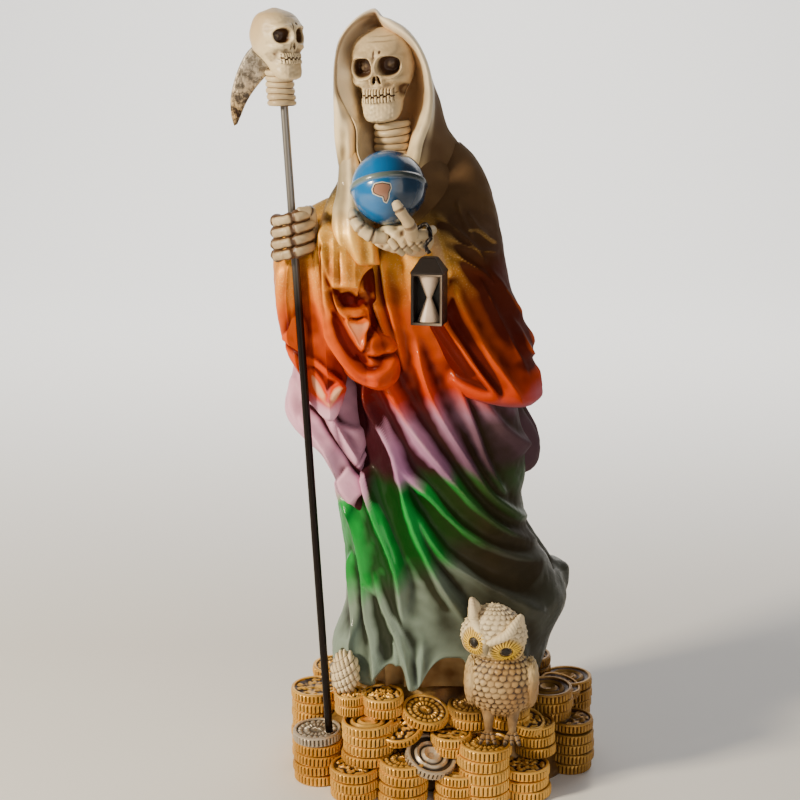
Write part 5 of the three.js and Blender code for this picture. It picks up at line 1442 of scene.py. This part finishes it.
def arc_of_piles(start, sweep, count, fewest, reach, size, seed, shown_coins=None):
    """Piles at even angles round the back, each of fewest coins or a few more, with the lower ones buried."""
    angles = [math.radians(start + sweep * i / (count - 1)) for i in range(count)]
    heights = [fewest + (i * 3) % 4 - i % 2 for i in range(count)]
    return [pile(reach * math.cos(a), reach * math.sin(a), n, size, seed + n, n - (shown_coins or n))
            for a, n in zip(angles, heights)]


back_piles = arc_of_piles(start=30, sweep=122, count=6, fewest=5, reach=1.02, size=1.1, seed=20)
back_piles += arc_of_piles(start=-12, sweep=208, count=8, fewest=7, reach=0.76, size=1, seed=30,
                           shown_coins=2)
random = np.random.default_rng(5)


def stacked(piles, fine=True):
    """All coins of the piles, each moved and tilted a little by chance. Only the top one has an open face."""
    made = []
    for one in piles:
        for level in range(one["coins"]):
            shift = random.uniform(-0.55, 0.55, 2)
            place = (one["x"] + shift[0], one["y"] + shift[1], one["first"] * THICK + level * one["thick"])
            tilt = random.uniform(-1.6, 1.6, 2) * (level > 0)
            top = level == one["coins"] - 1
            made.append(coin(place, COIN * one["size"], tilt, random.uniform(0, 3), one["seed"] * 9 + level,
                             one["seed"] % 4 * top, one["silver"] * top, one["thick"], top, fine))
    return sum(made[1:], made[0])


# %% The heap
def heap():
    """The heap under the coins: a squarish round that narrows upwards."""
    spread = track([(0, 1.08), (0.5, 0.97), (0.85, 0.77), (1, 0.64)])
    share, angle = down(40), around(120)
    x, y = squarish(angle, 0.8)
    points = grid_of(HALF_WIDTH * spread(share) * x, HALF_DEPTH * spread(share) * y, MOUND * share)
    lumps = 0.8 * ripple(points, 9, 77) * step(0, 0.05, share)
    points[..., 0] += lumps * np.cos(angle)
    points[..., 1] += lumps * np.sin(angle)
    made = wrapped(points, passes=4, depth=1)
    # The whole heap is darkened through the mark hollow: painted shade where it shows between the coins
    made.marks["hollow"] = np.full(len(made.points), 0.5)
    return made


def leaning(across, deep, high, radius, tilt, spin, seed, kind, silver=0.0):
    """A single coin that leans on the others, at a place in shares of the mound."""
    middle = (across * HALF_WIDTH, deep * HALF_DEPTH, high * MOUND)
    return coin(middle, radius, tilt, spin, seed, kind, silver)


def coin_part(name, skin):
    """A skin of gilded coins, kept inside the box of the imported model."""
    low, high = (np.array(corner) / MM for corner in cad_box)
    skin.points = np.clip(skin.points, low + 0.02, high - 0.02)
    shown(name, skin, coin_finish, "gold_coins", "coin_base", smooth=False)


coin_part("coins_front", stacked(front_piles))
coin_part("coins_back", stacked(back_piles, fine=False))
coin_part("coins_leaning", leaning(-0.367, -1, 0.645, 9.5, (24, -6), 0.4, 60, 2)
          + leaning(-0.173, -0.917, 0.763, 9.5, (14, 10), 1.0, 61, 3)
          + leaning(-0.133, -1.194, 0.408, 10.2, (24, 14), 0, 62, 1, silver=0.8)
          + leaning(-0.52, -0.98, 0.62, 8.0, (-10, -8), 2.0, 63, 1)
          + leaning(0.62, -0.9, 0.66, 8.2, (10, 12), 2.0, 64, 2)
          + leaning(0.96, -0.12, 0.72, 8.6, (4, 14), 1.0, 65, 0))
shown("coin_heap", heap(), coin_finish, "gold_coins", "coin_base")

# %% [markdown]
# ## Rod, scythe head, lantern and owl
# The small things that the figure holds or has at its feet. The rod and the wire are tubes, the blade is
# a sheet, the lantern is bevelled boxes, and the owl is balls whose surface rises in rows of feathers.

# %% Rod and scythe head
rod_line = ROD_START + (ROD_TOP - ROD_START) * down(40)
shown("rod", tube(rod_line, lambda t: 1.5 + 0 * t, 32), rod_finish, "dark_rod", "scythe_staff")

NECK = 13
SMALL_SKULL = 25.5
rod_way = (ROD_TOP - ROD_START) / np.linalg.norm(ROD_TOP - ROD_START)
scythe_foot = on_rod(ROD_TOP[2] - 11 * rod_way[2] - 0.3)
scythe_face = scythe_foot + (-2.4, 0, NECK + SMALL_SKULL * 0.36)
scythe = skull(SMALL_SKULL, (0, 0, 42), scythe_face, cheeks=0.5, columns=104, rings=116)
scythe.points[:, 0] = scythe_foot[0] + (scythe.points[:, 0] - scythe_foot[0]) * 0.97
bone_part("scythe_skull", scythe, "scythe_head")
collar = ringed_neck(scythe_foot + (-0.9, 0, 0), radius=5.4, length=NECK, rings=6,
                     lean=rod_way[:2] * NECK, rows=80, columns=56)
bone_part("scythe_neck", collar, "scythe_head")

BLADE_BACK = [(-60, -13, 289), (-67, -15, 288.4), (-72, -16, 286), (-75.6, -16.6, 281.6),
              (-78.6, -17.4, 274.6), (-80.2, -18, 268), (-80.3, -18, 262), (-79.2, -18.2, 257.4)]
BLADE_EDGE = [(-60, -13, 281), (-64, -15, 278.6), (-67.2, -16, 275.4), (-71.4, -17, 270.6),
              (-74.4, -17.6, 266), (-76.3, -18, 261.8), (-78, -18.2, 258)]


def rough_tip(s, t):
    """Small bumps that grow towards the tip."""
    return 0.25 * step(0.3, 0.9, t) * np.sin(41 * s + 23 * t) * np.sin(57 * t + 9 * s)


blade = sheet_between(BLADE_BACK, BLADE_EDGE, bulge=0.3, thickness=2.0, rows=110, columns=60,
                      waves=rough_tip)
shown("blade", blade, blade_finish, "painted_bone", "scythe_head")

# %% Lantern and wire
WIRE_HOOK = near_globe((0.99, -0.48, -0.93))
LANTERN_TOP = WIRE_HOOK + (1.2, -4.5, -11)
BEVEL = 0.18


def block(x0, y0, z0, x1, y1, z1):
    """A box with a small bevel: its three edge lengths shrink in turn near the corners."""
    rings = []
    for inset, z in ((BEVEL, z0), (0, z0 + BEVEL), (0, z1 - BEVEL), (BEVEL, z1)):
        left, right, near, far_side = x0 + inset, x1 - inset, y0 + inset, y1 - inset
        rings.append([(left + BEVEL, near, z), (right - BEVEL, near, z), (right, near + BEVEL, z),
                      (right, far_side - BEVEL, z), (right - BEVEL, far_side, z), (left + BEVEL, far_side, z),
                      (left, far_side - BEVEL, z), (left, near + BEVEL, z)])
    return wrapped(np.array(rings), passes=1, depth=1)


def lantern():
    """Floor, ceiling, back, two sides, a sloped roof and the hourglass of radius 0.95 + 3.3 |t|^0.95."""
    w, d, h, roof, wall = 11.6, 10.0, 19.0, 5.4, 1.1
    top, low, front, back = -roof, -roof - h, -d / 2, d / 2
    made = block(-w / 2, front, low, w / 2, back, low + wall)
    made += block(-w / 2, front, top - wall, w / 2, back, top)
    made += block(-w / 2, back - 3, low + wall - 0.2, w / 2, back, top - wall + 0.2)
    for left in (-w / 2, w / 2 - wall):
        made += block(left, front, low + wall - 0.2, left + wall, back - 2.8, top - wall + 0.2)
    across, deep, up = made.points.T
    worn = (deep < front + 0.05) & ((np.abs(across) > w / 2 - 0.3) | (up < low + 0.3))
    made.marks["white"] = np.where(worn & (across > -2), 0.4, 0.0)
    turn = np.pi / 4 + around(32)[0]
    square = np.c_[np.cos(turn), np.sin(turn)]
    square /= np.abs(square).max(1)[:, None]
    rings = [(w * 0.51, top - 0.4), (w * 0.51, top + 0.3), (w * 0.25, -0.3), (w * 0.19, 0.0)]
    made += wrapped(np.array([np.c_[square * (r, r * d / w), np.full(32, z)] for r, z in rings]), 1, 1)
    t, angle = 2 * down(60) - 1, around(40)
    radius = 0.95 + 3.3 * np.abs(t) ** 0.95
    glass = wrapped(grid_of(radius * np.cos(angle), d / 2 - 5 + radius * np.sin(angle) * 0.95,
                            (top + low) / 2 + (h / 2 - wall) * t))
    glass.marks["white"] = np.ones(len(glass.points))
    made += glass
    made.points = made.points @ turn_about("z", -13) + LANTERN_TOP
    return made


shown("lantern", lantern(), lantern_finish, "lantern_case", "hourglass_lantern", smooth=False)
wire_end = LANTERN_TOP + (0, 0, 1.15)
wire_path = [near_globe((0.7, -0.38, -1.08)), WIRE_HOOK, WIRE_HOOK * 0.6 + wire_end * 0.4 + (1.2, -1.6, 0),
             WIRE_HOOK * 0.28 + wire_end * 0.72 + (-1.1, -0.6, 0), wire_end]
wire = tube(line_through(wire_path, 90), lambda t: 0.72 + 0 * t, 24,
            lambda t, angle: 0.14 * np.cos(3 * angle + 50 * t))
shown("wire", wire, wire_finish, "wire_link", "hourglass_wire")

# %% Feathers
OWL_PLACE = np.array([0.296 * HALF_WIDTH + 4.4, -42.9, 24.3])
HEAD = np.array([-1.0, -1.5, 44.0])
HEAD_RADII = np.array([12.4, 8.8, 10.0])


def scales(unit, rows, columns, high):
    """Shingles: the height of one is f^1.2 (1 - |g|^3), f being its share down and g running across it from
    -1 to 1, cut to a round tip where f > 1 - 0.45 g^2. Each has its own size from the sine of its number."""
    row, f = np.divmod(np.arccos(np.clip(unit[..., 2], -1, 1)) / np.pi * rows, 1)
    turn = np.arctan2(unit[..., 1], unit[..., 0]) / (2 * np.pi)
    column, across = np.divmod(turn * columns + 0.5 * (row % 2) + 0.3 * np.sin(7 * row), 1)
    g = 2 * across - 1
    own = 0.68 + 0.32 * np.sin(12.9898 * row + 78.233 * column)
    tip = step(0.04, -0.12, f - 1 + 0.45 * g ** 2)
    return high * own * f ** 1.2 * (1 - np.abs(g) ** 3) * tip


def barbed(path, radii, count=46):
    """A ridge of feathers: its radius rises and falls 13 times along its length."""
    radius = track(np.c_[np.linspace(0, 1, len(radii)), radii])
    return tube(line_through(path, count), round_ended(radius), 20,
                lambda t, angle: 0.45 * np.abs(np.sin(13 * np.pi * t + 1.5 * angle)))


def on_face(x, z, out):
    """The depth of a place on the front of the head, moved outwards."""
    flat = 1 - ((x - HEAD[0]) / HEAD_RADII[0]) ** 2 - ((z - HEAD[2]) / HEAD_RADII[2]) ** 2
    return HEAD[1] - HEAD_RADII[1] * np.sqrt(np.clip(flat, 0.06, 1)) - out


# %% Owl
def owl_body():
    """Belly, wings and head. The head has a higher crown between the ears."""
    def head_lumps(unit):
        crown = bell((unit[..., 0] + 0.05) / 0.55) * step(0.3, 1.0, unit[..., 2])
        return scales(unit, 17, 24, 0.08) + 0.16 * crown

    made = ball((2, 0.3, 24), (13.2, 8.8, 13.2), 104, 140, lambda unit: scales(unit, 17, 26, 0.1))
    for x in (-9.2, 13.2):
        made += ball((x, 1, 24), (3.2, 6.4, 9.8), 44, 56, lambda unit: scales(unit, 9, 12, 0.12))
    return made + ball(HEAD, HEAD_RADII, 80, 116, head_lumps)


def owl_beak_and_ears():
    """The beak is a small bone, and from it a ridge of feathers runs up to each ear and down behind it."""
    beak = np.array([-3.6, on_face(-3.6, 41.0, 1.6), 40.6])
    bill = beak + [(0, 0.6, 2.6), (0, -0.4, 1.0), (0, 0.2, -1.8)]
    made = finger(bill, [1.3, 1.4, 0.5], NO_JOINT, sides=18, count=24)
    made.marks["dark"] = np.full(len(made.points), 0.35)
    for x, z, brow_x, brow_z in ((-9.6, 59.6, -8, 50.5), (9.4, 53.4, 3.6, 46.6)):
        tip = np.array([x, -4.6, z])
        brow = np.array([brow_x, on_face(brow_x, brow_z, 0.6), brow_z])
        ridge = [tip, (tip + brow) / 2 + (0, -1.2, 0), brow, beak + (0, 0.6, 2.4)]
        made += barbed(ridge, [0.6, 1.3, 1.5, 0.8])
        made += barbed(tip + [(0, 0.8, -0.6), (-x * 0.12, 2.2, -5), (-x * 0.2, 3, -10)], [0.6, 2.2, 3.0], 30)
    return made


def owl_leg(x):
    """A feathered leg with three toes, whose claws are dark."""
    shank = [(x, -1, 15), (x, -1.8, 8), (x, -2.4, 1.8)]
    made = finger(shank, [3.7, 2.0, 1.2], NO_JOINT, sides=18, count=26)
    for toe in (-1, 0, 1):
        path = [(x + toe * 0.5, -1.8, 4.4), (x + toe * 2.0, -4.6, 2.6), (x + toe * 3.0, -7.0, 0.8)]
        claw = finger(path, [0.95, 1.05, 0.6], (0.35, 0.68), sides=14, count=24)
        claw.marks["dark"] = 0.9 * step(-6.2, -6.9, claw.points[:, 1])
        made += claw
    return made


def owl_eye(x, z, wide, high):
    """A disc of radial feathers round an eye: rounds of r, raised by |sin| of the angle at their rim."""
    r = np.r_[1.04, 1.0, np.linspace(0.95, 0.36, 18), 0.32, 0.24, 0.14, 0.04][:, None]
    angle = around(108)
    feathers = 0.5 * np.abs(np.sin(12 * angle + 2.5 * r)) * step(1.0, 0.8, r) * step(0.34, 0.5, r)
    out = 1.5 * (1 - r) * step(0.3, 0.42, r) + 0.2 + feathers - 0.35 * bell((r - 0.34) / 0.05)
    out += 1.2 * np.sqrt(np.clip(1 - (r / 0.3) ** 2, 0, 1)) * (r < 0.3)
    out[0] = -1.6
    across, up = x + wide * r * np.cos(angle), z + high * r * np.sin(angle)
    made = wrapped(grid_of(across, on_face(across, up, out), up), passes=3, depth=0.4)
    share = capped(r + 0 * angle, 1)
    made.marks["yellow"] = step(1.02, 0.7, share) * step(0.3, 0.36, share)
    made.marks["dark"] = step(0.36, 0.3, share)
    return made


owl = owl_body() + owl_beak_and_ears() + owl_leg(-2.6) + owl_leg(6.6)
owl += owl_eye(-8.2, 43.0, 5.0, 6.4) + owl_eye(4.0, 39.8, 6.6, 6.0)
owl.points = owl.points @ turn_about("z", -6) + OWL_PLACE
shown("owl", owl, owl_finish, "painted_owl", "owl")
